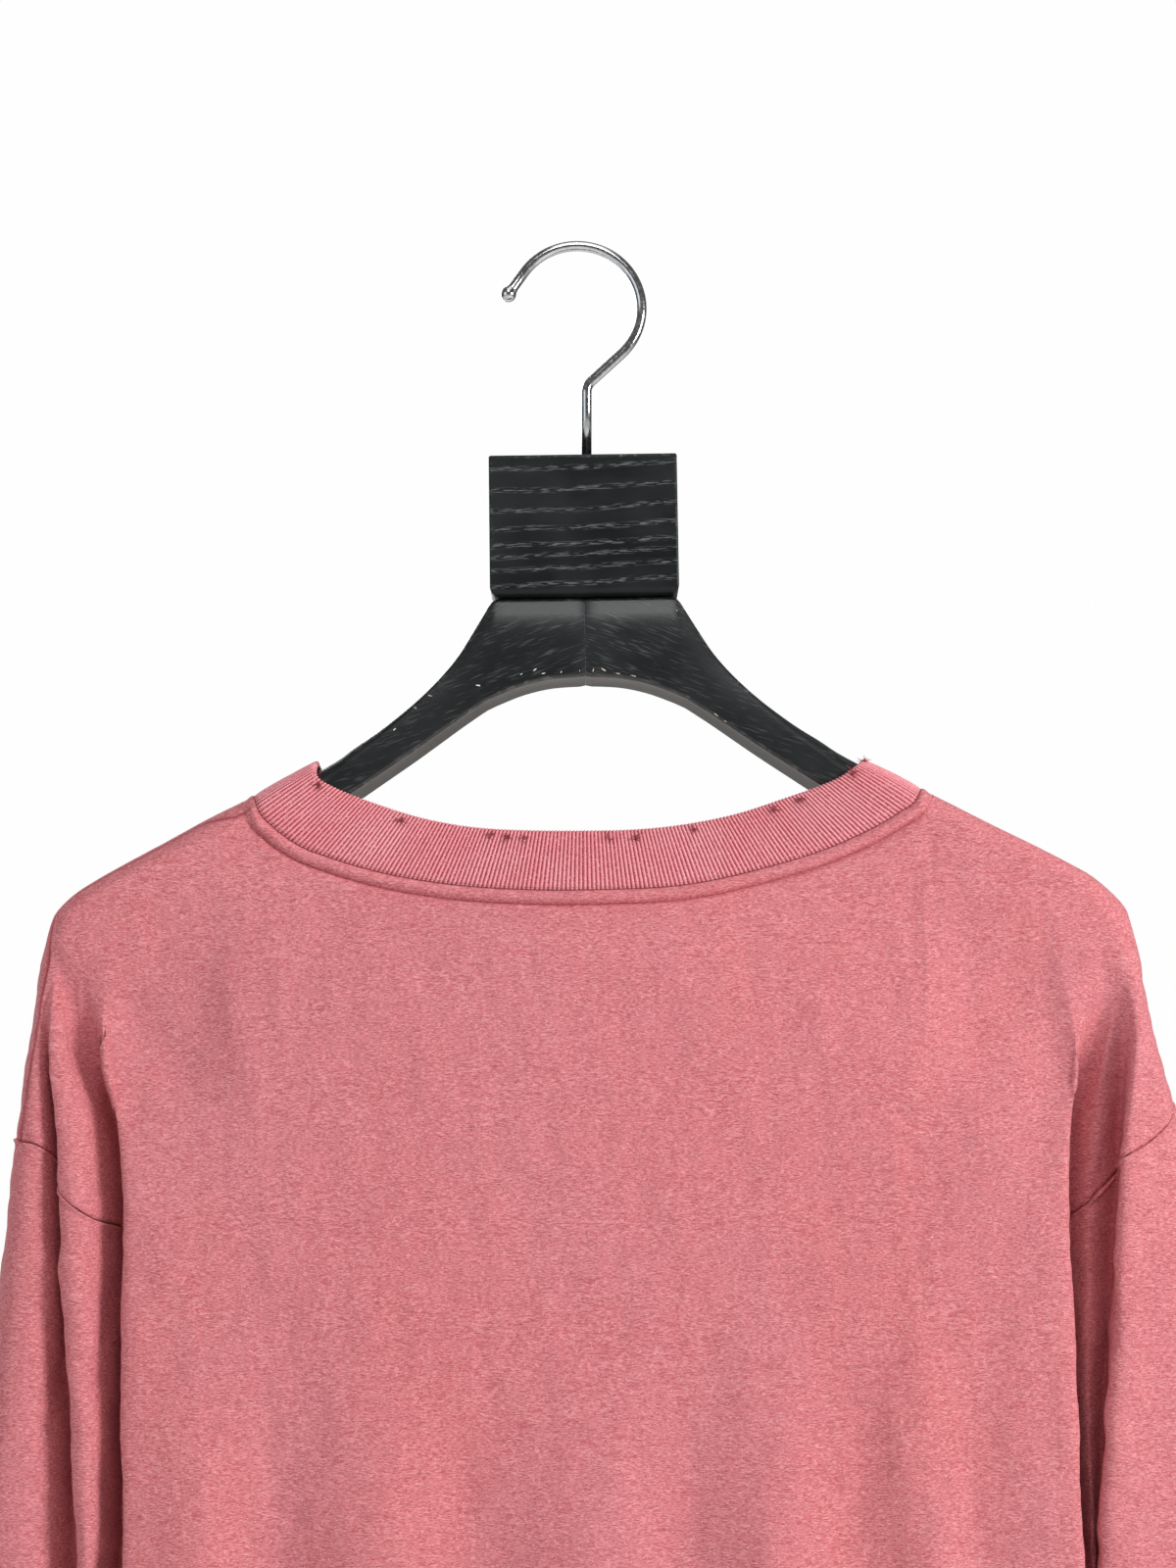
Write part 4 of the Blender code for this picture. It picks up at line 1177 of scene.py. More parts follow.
@dataclass
class Panel:
    """The back or front of the shirt, with both dropped shoulders."""

    face: Face
    name: str
    node: str
    creases: tuple[Crease, ...]
    seed: int
    flat: tuple[float, float]
    area: float
    body_steps: int = 170
    gusset_steps: int = 12
    close_reach: float = 9.0
    closer: float = 3.0
    upper_rows: int = 72
    lower_rows: int = 135
    dense_drops: tuple[float, ...] = (
        0, 0.25, 0.6, 1.1, 1.7, 2.4, 3.1, 3.8, 4.4, 4.9, 5.3, 5.7, 6.3, 7.2, 8.4, 9.8, 11.4, 13.2,
        15.2,
    )
    puff_width: float = 5.3
    puff_height: float = 2.1
    groove_depth: float = 1.1
    seam_inset: float = 2.4
    seam_turn: float = 2.6
    under_roll: float = 5.0
    under_roll_drop: float = 72.0
    under_roll_reach: float = 30.0
    hem_turn: float = 25.0
    edge_rounding: int = 4
    tip_round: float = 2.2
    tip_reach: float = 18.0
    folds_begin: float = -284.0
    folds_set: float = -334.0
    fold_rounding: int = 260
    folds_out: tuple[float, float] = (138, 165)
    line_bend: float = 0.8
    line_shift: float = 4.2
    line_shift_x: tuple[float, float] = (-146, -126)
    underarm_ease: float = 120.0
    hem_rows_drop: float = 6.4
    crest: Array | None = field(default=None, init=False)
    piece: Piece | None = field(default=None, init=False)

    def columns(self) -> tuple[Array, Array]:
        """Body columns from -1 to 1, finer where the neck seam turns down.

        Returns:
            The columns and the share of each that lies inside the neck opening.
        """
        start, end = Form(self.face).ends()
        corners = [NECK_POINT[side][0] for side in Side]
        x = np.linspace(start, end, 4000)
        near = sum(swell(x - corner, self.close_reach) for corner in corners)
        weight = np.cumsum(1.0 + self.closer * near)
        weight = (weight - weight[0]) / (weight[-1] - weight[0])
        places = np.interp(np.linspace(0, 1, self.body_steps + 1), weight, x)
        for corner in corners:
            places[np.argmin(np.abs(places - corner))] = corner
        return 2 * (places - start) / (end - start) - 1, places

    def upper_heights(self, top: Array, foot: Array) -> Array:
        """Row heights from the top edge to the foot, one column for each top.

        Args:
            top: The top edge's height for each column.
            foot: The foot's height for each column.

        Returns:
            Rows and columns of heights.
        """
        dense = np.array(self.dense_drops)
        span = np.linspace(0, 1, self.upper_rows - len(dense) + 1)[1:]
        rest = (top - foot - dense[-1])[None, :]
        even = top[None, :] - dense[-1] - rest * span[:, None]
        return np.concatenate([top[None, :] - dense[:, None], even])

    def lower_heights(self) -> Array:
        """Row heights from below the underarm to the hem."""
        return UNDERARM_Z + (HEM_Z - UNDERARM_Z) * np.linspace(0, 1, self.lower_rows + 1)[1:]

    def side_columns(self) -> Array:
        """Columns of a side's folds, from its outer edge to the body's edge."""
        gusset = np.linspace(VALLEY, EDGE, self.gusset_steps + 1)
        return np.concatenate([fold_columns()[:-1], gusset[:-1]])

    def fold_in(self, points: Array, side: Side, u: Array, z: Array) -> Array:
        """Draws the side seam in below the underarm, with a round fold at the body's edge.

        Args:
            points: Points of the side's folds.
            side: The shirt's side.
            u: Their columns.
            z: Their heights.

        Returns:
            The points, drawn in.
        """
        share = np.clip(EDGE - u, 0, 1) ** 1.25
        pull = SIDE_FOLD_IN * ramp(z, UNDERARM_Z, UNDERARM_Z - SIDE_FOLD_GROWS) * share
        points = points.copy()
        points[..., 0] -= side * pull
        return points

    def neck_distance(self, points: Array) -> tuple[Array, Array]:
        """Distance from the neck seam, and how much of its puff a point keeps past the corners.

        Args:
            points: The points.

        Returns:
            The distance, and the share that is kept.
        """
        x, z = points[..., 0], points[..., 2]
        ends = [NECK_POINT[side][0] for side in Side]
        line_x = np.linspace(*ends, 300)
        line_z = curve(*zip(*Form(self.face).seam), line_x)
        nearest = np.full(x.shape, 1e6)
        for a_x, a_z, b_x, b_z in zip(line_x, line_z, line_x[1:], line_z[1:]):
            run_x, run_z = b_x - a_x, b_z - a_z
            t = np.clip(((x - a_x) * run_x + (z - a_z) * run_z) / (run_x**2 + run_z**2), 0, 1)
            nearest = np.minimum(nearest, np.hypot(x - a_x - t * run_x, z - a_z - t * run_z))
        beyond = np.maximum(ends[0] - x, x - ends[1])
        return nearest, 1 - ramp(beyond, -3, 4)

    def round_tip(self, points: Array, side: Side, u: Array, drop: Array) -> Array:
        """Rounds off the corner where the shoulder line turns down into the sleeve."""
        points[..., 0] -= side * self.tip_round * ramp(drop, self.tip_reach, 0) * ramp(u, 1.2, 0)
        return points

    def open_folds(self, points: Array) -> Array:
        """Lets the folds begin soft and wide under the shoulder.

        Args:
            points: The panel's upper points.

        Returns:
            The points, rounded off under the shoulder.
        """
        begun = ramp(points[..., 2], self.folds_set, self.folds_begin)
        begun = begun * ramp(np.abs(points[..., 0]), *self.folds_out)
        return points + (ease_columns(points, self.fold_rounding) - points) * begun[..., None]

    def shoulder_line(self, points: Array) -> Array:
        """Distance inside the left outline, where the back's shoulder seam shows.

        Args:
            points: The points.

        Returns:
            The distance, and far more where there is no such seam.
        """
        outer = Form(self.face).line(LEFT, 0, points[..., 2])[0]
        beside = outer + points[..., 0] - self.seam_turn
        below = np.interp(points[..., 0], *self.crest.T) - points[..., 2]
        below = below / math.hypot(1, SHOULDER_SLOPE[LEFT])
        below = below - self.line_shift * ramp(points[..., 0], *self.line_shift_x)
        near = -self.line_bend * np.log(np.exp(-beside / self.line_bend) + np.exp(-below / self.line_bend))
        past_neck = (points[..., 0] > NECK_POINT[LEFT][0]) | (points[..., 2] < -600)
        return np.where(past_neck | (self.face is Face.FRONT), 1000, near)

    def marks(self, points: Array, foot: Array | None = None) -> Array:
        """How much the cloth darkens in its seams and stitch lines, with painted shadow under the neck
        puff, from 0 to 1.

        Args:
            points: The points.
            foot: The sleeve seam's height for each column, if there is one.

        Returns:
            The share at each point.
        """
        z = points[..., 2]
        distance, kept = self.neck_distance(points)
        # The line at the puff's width darkens the stitch line and is also painted shadow under the neck
        # puff.
        mark = kept * (0.50 * swell(distance - self.puff_width, 0.6) + 0.7 * swell(distance, 0.35))
        mark = mark + 0.9 * swell(self.shoulder_line(points) - self.seam_inset, 0.55)
        turn = HEM_Z + self.hem_turn
        mark = mark + 0.5 * swell(z - turn - 1, 0.8) + 0.4 * swell(z - turn + self.hem_rows_drop, 0.7)
        if foot is not None:
            mark = mark + 0.12 * swell(z - foot[None, :], 0.35)
        return np.clip(mark, 0, 1)

    def relief(self, points: Array, columns_x: Array, top: Array, in_neck: Array) -> Array:
        """How far the surface is pushed out: neck puff and groove, creases, ripples, hem.

        Args:
            points: The points.
            columns_x: Where each column starts across.
            top: The top edge's height for each column.
            in_neck: Which columns hang from the neck seam.

        Returns:
            The push at each point.
        """
        x, z = points[..., 0], points[..., 2]
        distance, kept = self.neck_distance(points)
        t = distance / self.puff_width
        puff = self.puff_height * np.sin(math.pi * np.clip(t, 0, 1)) ** 0.8
        groove = -self.groove_depth * swell(distance - self.puff_width, 0.8)
        below = 0.35 * swell(distance - self.puff_width - 3, 2.4)
        push = kept * (puff + groove + below)
        inset = self.shoulder_line(points) - self.seam_inset
        push = push - 0.5 * swell(inset, 0.5) + 0.3 * swell(inset - 1.2, 0.7)
        past_neck = ramp(np.abs(columns_x), 128, 150) * ramp(np.abs(columns_x), 200, 180)
        past_neck = np.where(in_neck, 0, past_neck)
        hollow = swell(top[None, :] - z - self.under_roll_drop, self.under_roll_reach)
        push = push - self.under_roll * past_neck[None, :] * hollow
        free = ramp(top[None, :] - z, 6, 26)
        for crease in self.creases:
            push = push + crease.at(x, z) * free
        push = push + Ripple(self.seed, 0.32, 34, 26).at(x, z) * free
        push = push + Ripple(self.seed + 1, 0.07, 9, 7).at(x, z) * (0.3 + 0.7 * free)
        turn = HEM_Z + self.hem_turn
        hem = 0.5 * ramp(z, turn + 1.6, turn - 0.4) - 0.4 * swell(z - turn - 1, 1.2)
        hem = hem - 0.3 * swell(z - turn + self.hem_rows_drop, 1)
        pucker = Ripple(self.seed + 2, 0.22, 9, 40).at(x, z) * ramp(z, turn + 22, turn)
        return push + hem + pucker

    def build(self, material: Material) -> None:
        """Makes the panel's shell.

        Args:
            material: The jersey.
        """
        form = Form(self.face)
        s, body_x = self.columns()
        body_top = form.top(body_x)
        inside = (body_x > NECK_POINT[LEFT][0]) & (body_x < NECK_POINT[RIGHT][0])
        u = self.side_columns()
        left_top, right_top = (side_top(side, u) for side in Side)
        tops = [left_top, body_top, right_top[::-1]]
        feet = [self.foot(LEFT, u), np.full(len(s), UNDERARM_Z), self.foot(RIGHT, u)[::-1]]
        top, foot = np.concatenate(tops), np.concatenate(feet)
        z = self.upper_heights(top, foot)
        n = len(u)
        z_right = z[:, n + len(s):][:, ::-1]
        z_left, z_middle = z[:, :n], z[:, n:n + len(s)]
        left = self.round_tip(form.side_points(LEFT, u, z_left), LEFT, u, left_top - z_left)
        right = form.side_points(RIGHT, u, z_right)
        right = self.round_tip(right, RIGHT, u, right_top - z_right)[:, ::-1]
        middle = form.body_points(np.broadcast_to(s, z_middle.shape), z_middle)
        upper = self.open_folds(np.concatenate([left, middle, right], axis=1))
        in_neck = np.concatenate([np.zeros(n, bool), inside, np.zeros(n, bool)])
        kept = u >= VALLEY
        u_low, below_arm = u[kept], self.lower_heights()[:, None]
        low = np.broadcast_to(below_arm, (self.lower_rows, len(u_low)))
        ends = {side: self.fold_in(form.side_points(side, u_low, low), side, u_low, low) for side in Side}
        z_body = np.broadcast_to(below_arm, (self.lower_rows, len(s)))
        body = form.body_points(np.broadcast_to(s, z_body.shape), z_body)
        lower = np.concatenate([ends[LEFT], body, ends[RIGHT][:, ::-1]], axis=1)
        first, last = n - len(u_low), n + len(s) + len(u_low)
        whole = np.concatenate([upper[:, first:last], lower])
        smooth = ease_columns(whole, self.edge_rounding)
        blend = ramp(UNDERARM_Z + self.underarm_ease - whole[..., 2], 0, self.underarm_ease)[..., None]
        whole = whole + (smooth - whole) * blend
        upper[:, first:last], lower = whole[:len(upper)], whole[len(upper):]
        columns_x = np.concatenate([left[0, :, 0], body_x, right[0, :, 0]])
        self.crest = upper[0][:, (0, 2)]
        weaver = Weaver()
        sewn = foot.copy()
        sewn[first:last] = -np.inf
        push = self.relief(upper, columns_x, top, in_neck) + self.seam_dip(upper, foot, first, last)
        mark = self.marks(upper, sewn)
        # Painted shade deep inside the side folds, added to the seam mark.
        mark[:, :n] += painted_fold_shade(LEFT, u, z_left)
        mark[:, n + len(s):] += painted_fold_shade(RIGHT, u, z_right)[:, ::-1]
        above = weaver.grid(upper, push, np.minimum(mark, 1))
        mid = slice(first, last)
        push = self.relief(lower, columns_x[mid], top[mid], in_neck[mid])
        below = weaver.grid(lower, push, self.marks(lower))
        flip = self.face is Face.FRONT
        weaver.quads(above, flip)
        weaver.quads(np.concatenate([above[-1:, mid], below]), flip)
        self.piece = add_piece(self.name, weaver.mesh(self.name), material)

    def foot(self, side: Side, u: Array) -> Array:
        """Height of the panel's foot at a side's columns: the sleeve seam, or the underarm."""
        return np.where(u < VALLEY, seam_z(side, u) + HALF_GAP, UNDERARM_Z)

    def seam_dip(self, upper: Array, foot: Array, first: int, last: int) -> Array:
        """The cloth dips where the sleeve is sewn on, and puckers a little above it.

        Args:
            upper: The panel's upper points.
            foot: The foot's height for each column.
            first: The first column past the sleeve seam.
            last: The column where it begins again.

        Returns:
            The push at each point.
        """
        above = upper[..., 2] - foot[None, :]
        dip = -0.12 * swell(above, 0.6) + 0.2 * swell(above - 3, 2)
        pucker = Ripple(self.seed + 3, 0.25, 8, 30).at(upper[..., 0], upper[..., 2])
        dip = dip + pucker * swell(above, 9)
        dip[:, first:last] = 0.0
        return dip

    def finish(self) -> None:
        give_wall(self.piece, WALL)
        dress(self.piece, Slot.JERSEY, self.node)


@dataclass
class Sleeve:
    """A long sleeve, from the dropped armhole seam to its plain cuff."""

    side: Side
    name: str
    node: str
    seed: int
    flat: tuple[float, float]
    area: float
    rows: int = 190
    cuff_turn: float = 20.0
    ease: float = 2.0
    clear: float = 3.2
    underarm_clear: float = 0.6
    tuck: float = 2.4
    middle: float = 203.0
    close_rows: tuple[float, ...] = (-2.6, -0.4, 0, 0.35, 0.8, 1.4, 2.2, 3.2, 4.4, 5.8, 7.5)
    creases: tuple[Crease, ...] = ()
    piece: Piece | None = field(default=None, init=False)

    def build(self, material: Material) -> None:
        """Makes the sleeve's tube.

        Args:
            material: The jersey.
        """
        u = fold_columns()
        start = seam_z(self.side, u) - HALF_GAP - self.ease * ramp(u, 5.8, VALLEY)
        fractions = np.linspace(0, 1, self.rows)[1:, None]
        z = start[None, :] - np.array(self.close_rows)[:, None]
        z = np.concatenate([z, z[-1:] + (CUFF_Z - z[-1:]) * fractions])
        halves, pushes = [], []
        for face in Face:
            points = Form(face).side_points(self.side, u, z)
            away = self.clear * ramp(u, 4, VALLEY) * ramp(z, UNDERARM_Z, UNDERARM_Z - SETTLE)
            points[..., 0] += self.side * (away + self.underarm_clear * ramp(u, 5.6, VALLEY))
            points[:, (0, -1), 1] = 0.0
            halves.append(points)
            pushes.append(self.relief(points, start, face))
        ring = np.concatenate([halves[0], halves[1][:, -2:0:-1]], axis=1)
        push = np.concatenate([pushes[0], pushes[1][:, -2:0:-1]], axis=1)
        starts = np.concatenate([start, start[-2:0:-1]])
        # Painted shade deep inside the folds, added to the seam mark.
        painted_shade = painted_fold_shade(self.side, u, z)
        mark = np.concatenate([painted_shade, painted_shade[:, -2:0:-1]], axis=1)
        mark = mark + 0.10 * ramp(starts[None, :] - ring[..., 2], 0.3, 0)
        mark = mark + 0.5 * swell(ring[..., 2] - CUFF_Z - self.cuff_turn - 1, 0.8)
        weaver = Weaver()
        numbers = weaver.grid(ring, push, np.clip(mark, 0, 1))
        weaver.tube(numbers, self.side is RIGHT)
        self.piece = add_piece(self.name, weaver.mesh(self.name), material)

    def relief(self, points: Array, start: Array, face: Face) -> Array:
        """How far the surface is pushed out: seam roll, creases, ripples, cuff.

        Args:
            points: Points of one half of the tube.
            start: The seam's height for each column.
            face: The half's face of the shirt.

        Returns:
            The push at each point.
        """
        around = points[..., 0] * self.side + face * points[..., 1] * 0.8
        z = points[..., 2]
        below = start[None, :] - z
        push = 0.75 * swell(below - 0.7, 0.6) - 0.15 * swell(below - 3.6, 1.8)
        push = push - self.tuck * ramp(below, 0.2, -0.3)
        push = push + Ripple(self.seed + 3, 0.3, 8, 30).at(around, z) * swell(below, 9)
        free = ramp(below, 4, 24)
        for crease in self.creases:
            push = push + crease.at(around - self.middle, z) * free
        push = push + Ripple(self.seed, 0.4, 30, 24).at(around, z) * free
        push = push + Ripple(self.seed + 1, 0.07, 9, 7).at(around, z)
        turn = CUFF_Z + self.cuff_turn
        push = push + 0.5 * ramp(z, turn + 1.6, turn - 0.4) - 0.4 * swell(z - turn - 1, 1.2)
        push = push + Ripple(self.seed + 2, 0.25, 8, 40).at(around, z) * ramp(z, turn + 22, turn)
        return push

    def finish(self) -> None:
        give_wall(self.piece, WALL)
        dress(self.piece, Slot.JERSEY, self.node)


LEFT_SLEEVE_CREASES = creases(
    (-30, -400, 10, -470, -1.4, 7, 3), (20, -380, -16, -440, 1, 7, -2),
    (-34, -520, -10, -640, -1.3, 6, 3), (14, -560, 26, -700, -1.2, 7, -3),
    (-8, -600, 2, -780, 1.2, 8, 3), (-28, -690, -6, -760, -1.5, 7, 4), (24, -740, -4, -820, 1.2, 7, -4),
    (-20, -800, 16, -860, -1.3, 7, 3),
)
RIGHT_SLEEVE_CREASES = creases(
    (36, -390, 4, -460, -1.4, 7, -3), (-6, -400, 20, -470, 1.1, 7, 3), (40, -520, 18, -650, -1.2, 7, 3),
    (4, -560, -8, -720, 1.3, 7, -3), (28, -620, 34, -780, 1.1, 8, -3),
    (-10, -700, 16, -770, -1.5, 7, 4), (34, -760, 6, -830, -1.2, 7, -4), (0, -800, 30, -866, 1.3, 7, 3),
)


@dataclass
class NeckRib:
    """The ring of rib knit round the neck, folded over at its top."""

    name: str = "neck_rib_knit"
    node: str = "neck_rib"
    ribs: int = 368
    steps: int = 8
    rows: int = 13
    height: float = 23.5
    wall: float = 1.6
    raise_by: float = 0.5
    belly: float = 0.5
    gap: float = 0.15
    lip: tuple[tuple[float, float], ...] = ((-1.8, 0.35), (-1.8, -0.15), (0.15, -0.15))
    flat: tuple[float, float] = (0.70, 0.026)
    piece: Piece | None = field(default=None, init=False)
    outer: Array | None = field(default=None, init=False)

    def edges(self, face: Face, places: Array) -> tuple[Array, Array]:
        """The seam edge and the top edge on one face, left to right.

        Args:
            face: The face of the shirt.
            places: Shares of each edge's length.

        Returns:
            The points of both.
        """
        form = Form(face)
        x = np.linspace(NECK_POINT[LEFT][0], NECK_POINT[RIGHT][0], 900)
        seam = form.body_points(form.column_at(x), form.top(x))
        seam[(0, -1), 1] = 0.0
        rows = np.array(form.rib_top)
        at = np.linspace(0, len(rows) - 1, 1200)
        line = through(np.repeat(rows[:, :, None], len(at), axis=2), at)
        top = form.band_points(line[0], line[1])
        top[(0, -1), 1] = 0.0
        return resample(seam, places), resample(top, places)

    def ring(self, low: bool) -> Array:
        """The closed seam edge or top edge, back first, then front.

        Args:
            low: Whether it is the seam edge.

        Returns:
            The edge's points.
        """
        half = self.ribs * self.steps // 2
        places = np.linspace(0, 1, half + 1)
        pick = 0 if low else 1
        back = self.edges(Face.BACK, places)[pick][:-1]
        front = self.edges(Face.FRONT, places)[pick][::-1][:-1]
        return np.concatenate([back, front])

    def build(self, material: Material) -> None:
        """Makes the folded band, ribs raised on it, and its UV map.

        Args:
            material: The rib knit.
        """
        low, high = self.ring(True), self.ring(False)
        rise = high - low
        length = np.linalg.norm(rise, axis=1)[:, None]
        up = rise / length
        along = np.roll(low + high, -1, axis=0) - np.roll(low + high, 1, axis=0)
        out = np.cross(along, up)
        out /= np.linalg.norm(out, axis=1)[:, None]
        count = len(low)
        t = np.arange(count) / self.steps
        wave = np.cos(2 * math.pi * t)
        crest = np.where(wave > 0, 1, -1) * np.abs(wave) ** 0.8
        rib = (0.5 + 0.5 * crest)[:, None]
        radius = self.wall / 2
        rows, across = [], []
        for place in np.linspace(0, 1, self.rows):
            start = self.gap + place * (length - self.gap - radius)
            lift = self.belly * math.sin(math.pi * place) ** 0.7
            shrink = 0.5 + 0.5 * float(ramp(place, 0, 0.12))
            raised = self.raise_by * shrink * rib
            rows.append(low + up * start + out * (lift + raised))
            across.append(place * self.height)
        crown = low + up * (length - radius) - out * radius
        for angle in np.linspace(0, math.pi, 6)[1:]:
            raised = self.raise_by * rib * (1 - 0.5 * angle / math.pi)
            reach = radius + raised
            rows.append(crown + out * reach * math.cos(angle) + up * reach * math.sin(angle))
            across.append(self.height + radius * angle)
        for place in np.linspace(1, 0, 5)[1:]:
            start = self.gap + place * (length - self.gap - radius)
            raised = 0.25 * self.raise_by * rib
            rows.append(low + up * start - out * (self.wall + raised))
            across.append(2 * self.height - place * self.height + self.wall)
        for start, inwards in self.lip:
            rows.append(low + up * start - out * (self.wall + inwards))
            across.append(2 * self.height + self.wall - start)
        self.outer = rows[self.rows - 1]
        weaver = Weaver()
        numbers = weaver.grid(np.stack(rows))
        weaver.tube(np.concatenate([numbers, numbers[:1]]), True)
        mesh = weaver.mesh(self.name)
        self.write_uv(mesh, count, across)
        self.piece = add_piece(self.name, mesh, material)

    def write_uv(self, mesh: Mesh, count: int, across: list[float]) -> None:
        """A map with one unit for each rib and a millimetre a unit up the band.

        Args:
            mesh: The band's mesh.
            count: How many points a row has.
            across: Each row's place up the band.
        """
        corners = np.zeros(len(mesh.loops), np.int32)
        mesh.loops.foreach_get("vertex_index", corners)
        u = (corners % count) / self.steps
        v = np.array(across)[corners // count]
        faces = u.reshape(-1, 4)
        wraps = faces.max(axis=1) - faces.min(axis=1) > self.ribs / 2
        faces[wraps] += np.where(faces[wraps] < self.ribs / 2, self.ribs, 0)
        layer = mesh.uv_layers.new(name="rib")
        layer.data.foreach_set("uv", np.stack([faces.reshape(-1), v], axis=1).reshape(-1))

    def finish(self) -> None:
        dress(self.piece, Slot.RIB, self.node)


# ---- sewing
@dataclass
class StitchRow:
    """A row of stitches laid along a path by Geometry Nodes."""

    name: str
    paths: list[Array]
    closed: bool
    pitch: float = 2.6
    length: float = 2.1
    thickness: float = 0.34
    sides: int = 6
    rings: tuple[Triple, ...] = (
        (-0.5, 0.25, -0.45), (-0.32, 0.8, -0.05), (0, 1, 0.1), (0.32, 0.8, -0.05), (0.5, 0.25, -0.45),
    )

    def bead(self) -> Piece:
        """One stitch: a slim bead along X whose ends dive into the cloth.

        Returns:
            The bead, not yet in the scene.
        """
        shape = bmesh.new()
        loops = []
        for along, width, lift in self.rings:
            loop = []
            for k in range(self.sides):
                angle = 2 * math.pi * k / self.sides
                y = math.cos(angle) * width * self.thickness / 2
                z = math.sin(angle) * width * self.thickness / 2 + lift * self.thickness
                loop.append(shape.verts.new(Vector((along * self.length, y, z)) * MM))
            loops.append(loop)
        for a, b in zip(loops, loops[1:]):
            for k in range(self.sides):
                shape.faces.new((a[k], a[k - 1], b[k - 1], b[k]))
        shape.faces.new(loops[0])
        shape.faces.new(loops[-1][::-1])
        bmesh.ops.recalc_face_normals(shape, faces=shape.faces)
        mesh = bpy.data.meshes.new("stitch_bead")
        shape.to_mesh(mesh)
        shape.free()
        mesh.shade_smooth()
        return bpy.data.objects.new("stitch_bead", mesh)

    def path_mesh(self) -> Mesh:
        """The paths as edges, with the way out of the cloth kept on each point.

        Returns:
            The mesh of edges.
        """
        points, edges, outs = [], [], []
        for path in self.paths:
            first = len(points)
            places, normals = path[:, :3], path[:, 3:]
            points += (places * MM).tolist()
            outs += normals.tolist()
            edges += [(first + k, first + k + 1) for k in range(len(places) - 1)]
            if self.closed:
                edges.append((first + len(places) - 1, first))
        mesh = bpy.data.meshes.new(self.name)
        mesh.from_pydata(points, edges, [])
        away = mesh.attributes.new("away", "FLOAT_VECTOR", "POINT")
        away.data.foreach_set("vector", np.array(outs, np.float32).reshape(-1))
        return mesh

    def tree(self, bead: Piece, material: Material) -> bpy.types.NodeTree:
        """Builds the node tree: edges to curve, even points, one bead on each.

        Args:
            bead: The stitch that is laid.
            material: The thread.

        Returns:
            The node tree.
        """
        tree = bpy.data.node_groups.new("stitches", "GeometryNodeTree")
        face = tree.interface
        face.new_socket("Geometry", in_out="INPUT", socket_type="NodeSocketGeometry")
        face.new_socket("Pitch", in_out="INPUT", socket_type="NodeSocketFloat")
        face.new_socket("Geometry", in_out="OUTPUT", socket_type="NodeSocketGeometry")
        entry, leave, to_curve, spread, info, lay, realize, paint, away, upright, lie = (
            tree.nodes.new(kind) for kind in (
                "NodeGroupInput", "NodeGroupOutput", "GeometryNodeMeshToCurve",
                "GeometryNodeCurveToPoints", "GeometryNodeObjectInfo", "GeometryNodeInstanceOnPoints",
                "GeometryNodeRealizeInstances", "GeometryNodeSetMaterial",
                "GeometryNodeInputNamedAttribute", "FunctionNodeAlignRotationToVector",
                "FunctionNodeAlignRotationToVector",
            )
        )
        spread.mode = "LENGTH"
        info.inputs["Object"].default_value = bead
        info.inputs["As Instance"].default_value = True
        away.data_type = "FLOAT_VECTOR"
        away.inputs["Name"].default_value = "away"
        upright.axis, lie.axis, lie.pivot_axis = "Z", "X", "Z"
        paint.inputs["Material"].default_value = material
        for start, output, end, into in (
            (entry, "Geometry", to_curve, "Mesh"), (to_curve, "Curve", spread, "Curve"),
            (entry, "Pitch", spread, "Length"), (away, "Attribute", upright, "Vector"),
            (upright, "Rotation", lie, "Rotation"), (spread, "Tangent", lie, "Vector"),
            (spread, "Points", lay, "Points"), (info, "Geometry", lay, "Instance"),
            (lie, "Rotation", lay, "Rotation"), (lay, "Instances", realize, "Geometry"),
            (realize, "Geometry", paint, "Geometry"), (paint, "Geometry", leave, "Geometry"),
        ):
            tree.links.new(start.outputs[output], end.inputs[into])
        return tree

    def build(self, material: Material) -> Piece:
        """Lays the stitches and returns them as one plain mesh.

        Args:
            material: The thread.

        Returns:
            The row of stitches.
        """
        bead = self.bead()
        bpy.context.scene.collection.objects.link(bead)
        guide = add_piece(self.name + "_guide", self.path_mesh(), material)
        sewing = guide.modifiers.new("stitches", "NODES")
        sewing.node_group = self.tree(bead, material)
        pitch = next(i for i in sewing.node_group.interface.items_tree if i.name == "Pitch")
        sewing[pitch.identifier] = self.pitch * MM
        mesh = plain_mesh(guide)
        mesh.name = self.name
        for helper in (guide, bead):
            bpy.data.objects.remove(helper, do_unlink=True)
        row = add_piece(self.name, mesh, material)
        dress(row, Slot.JERSEY)
        return row


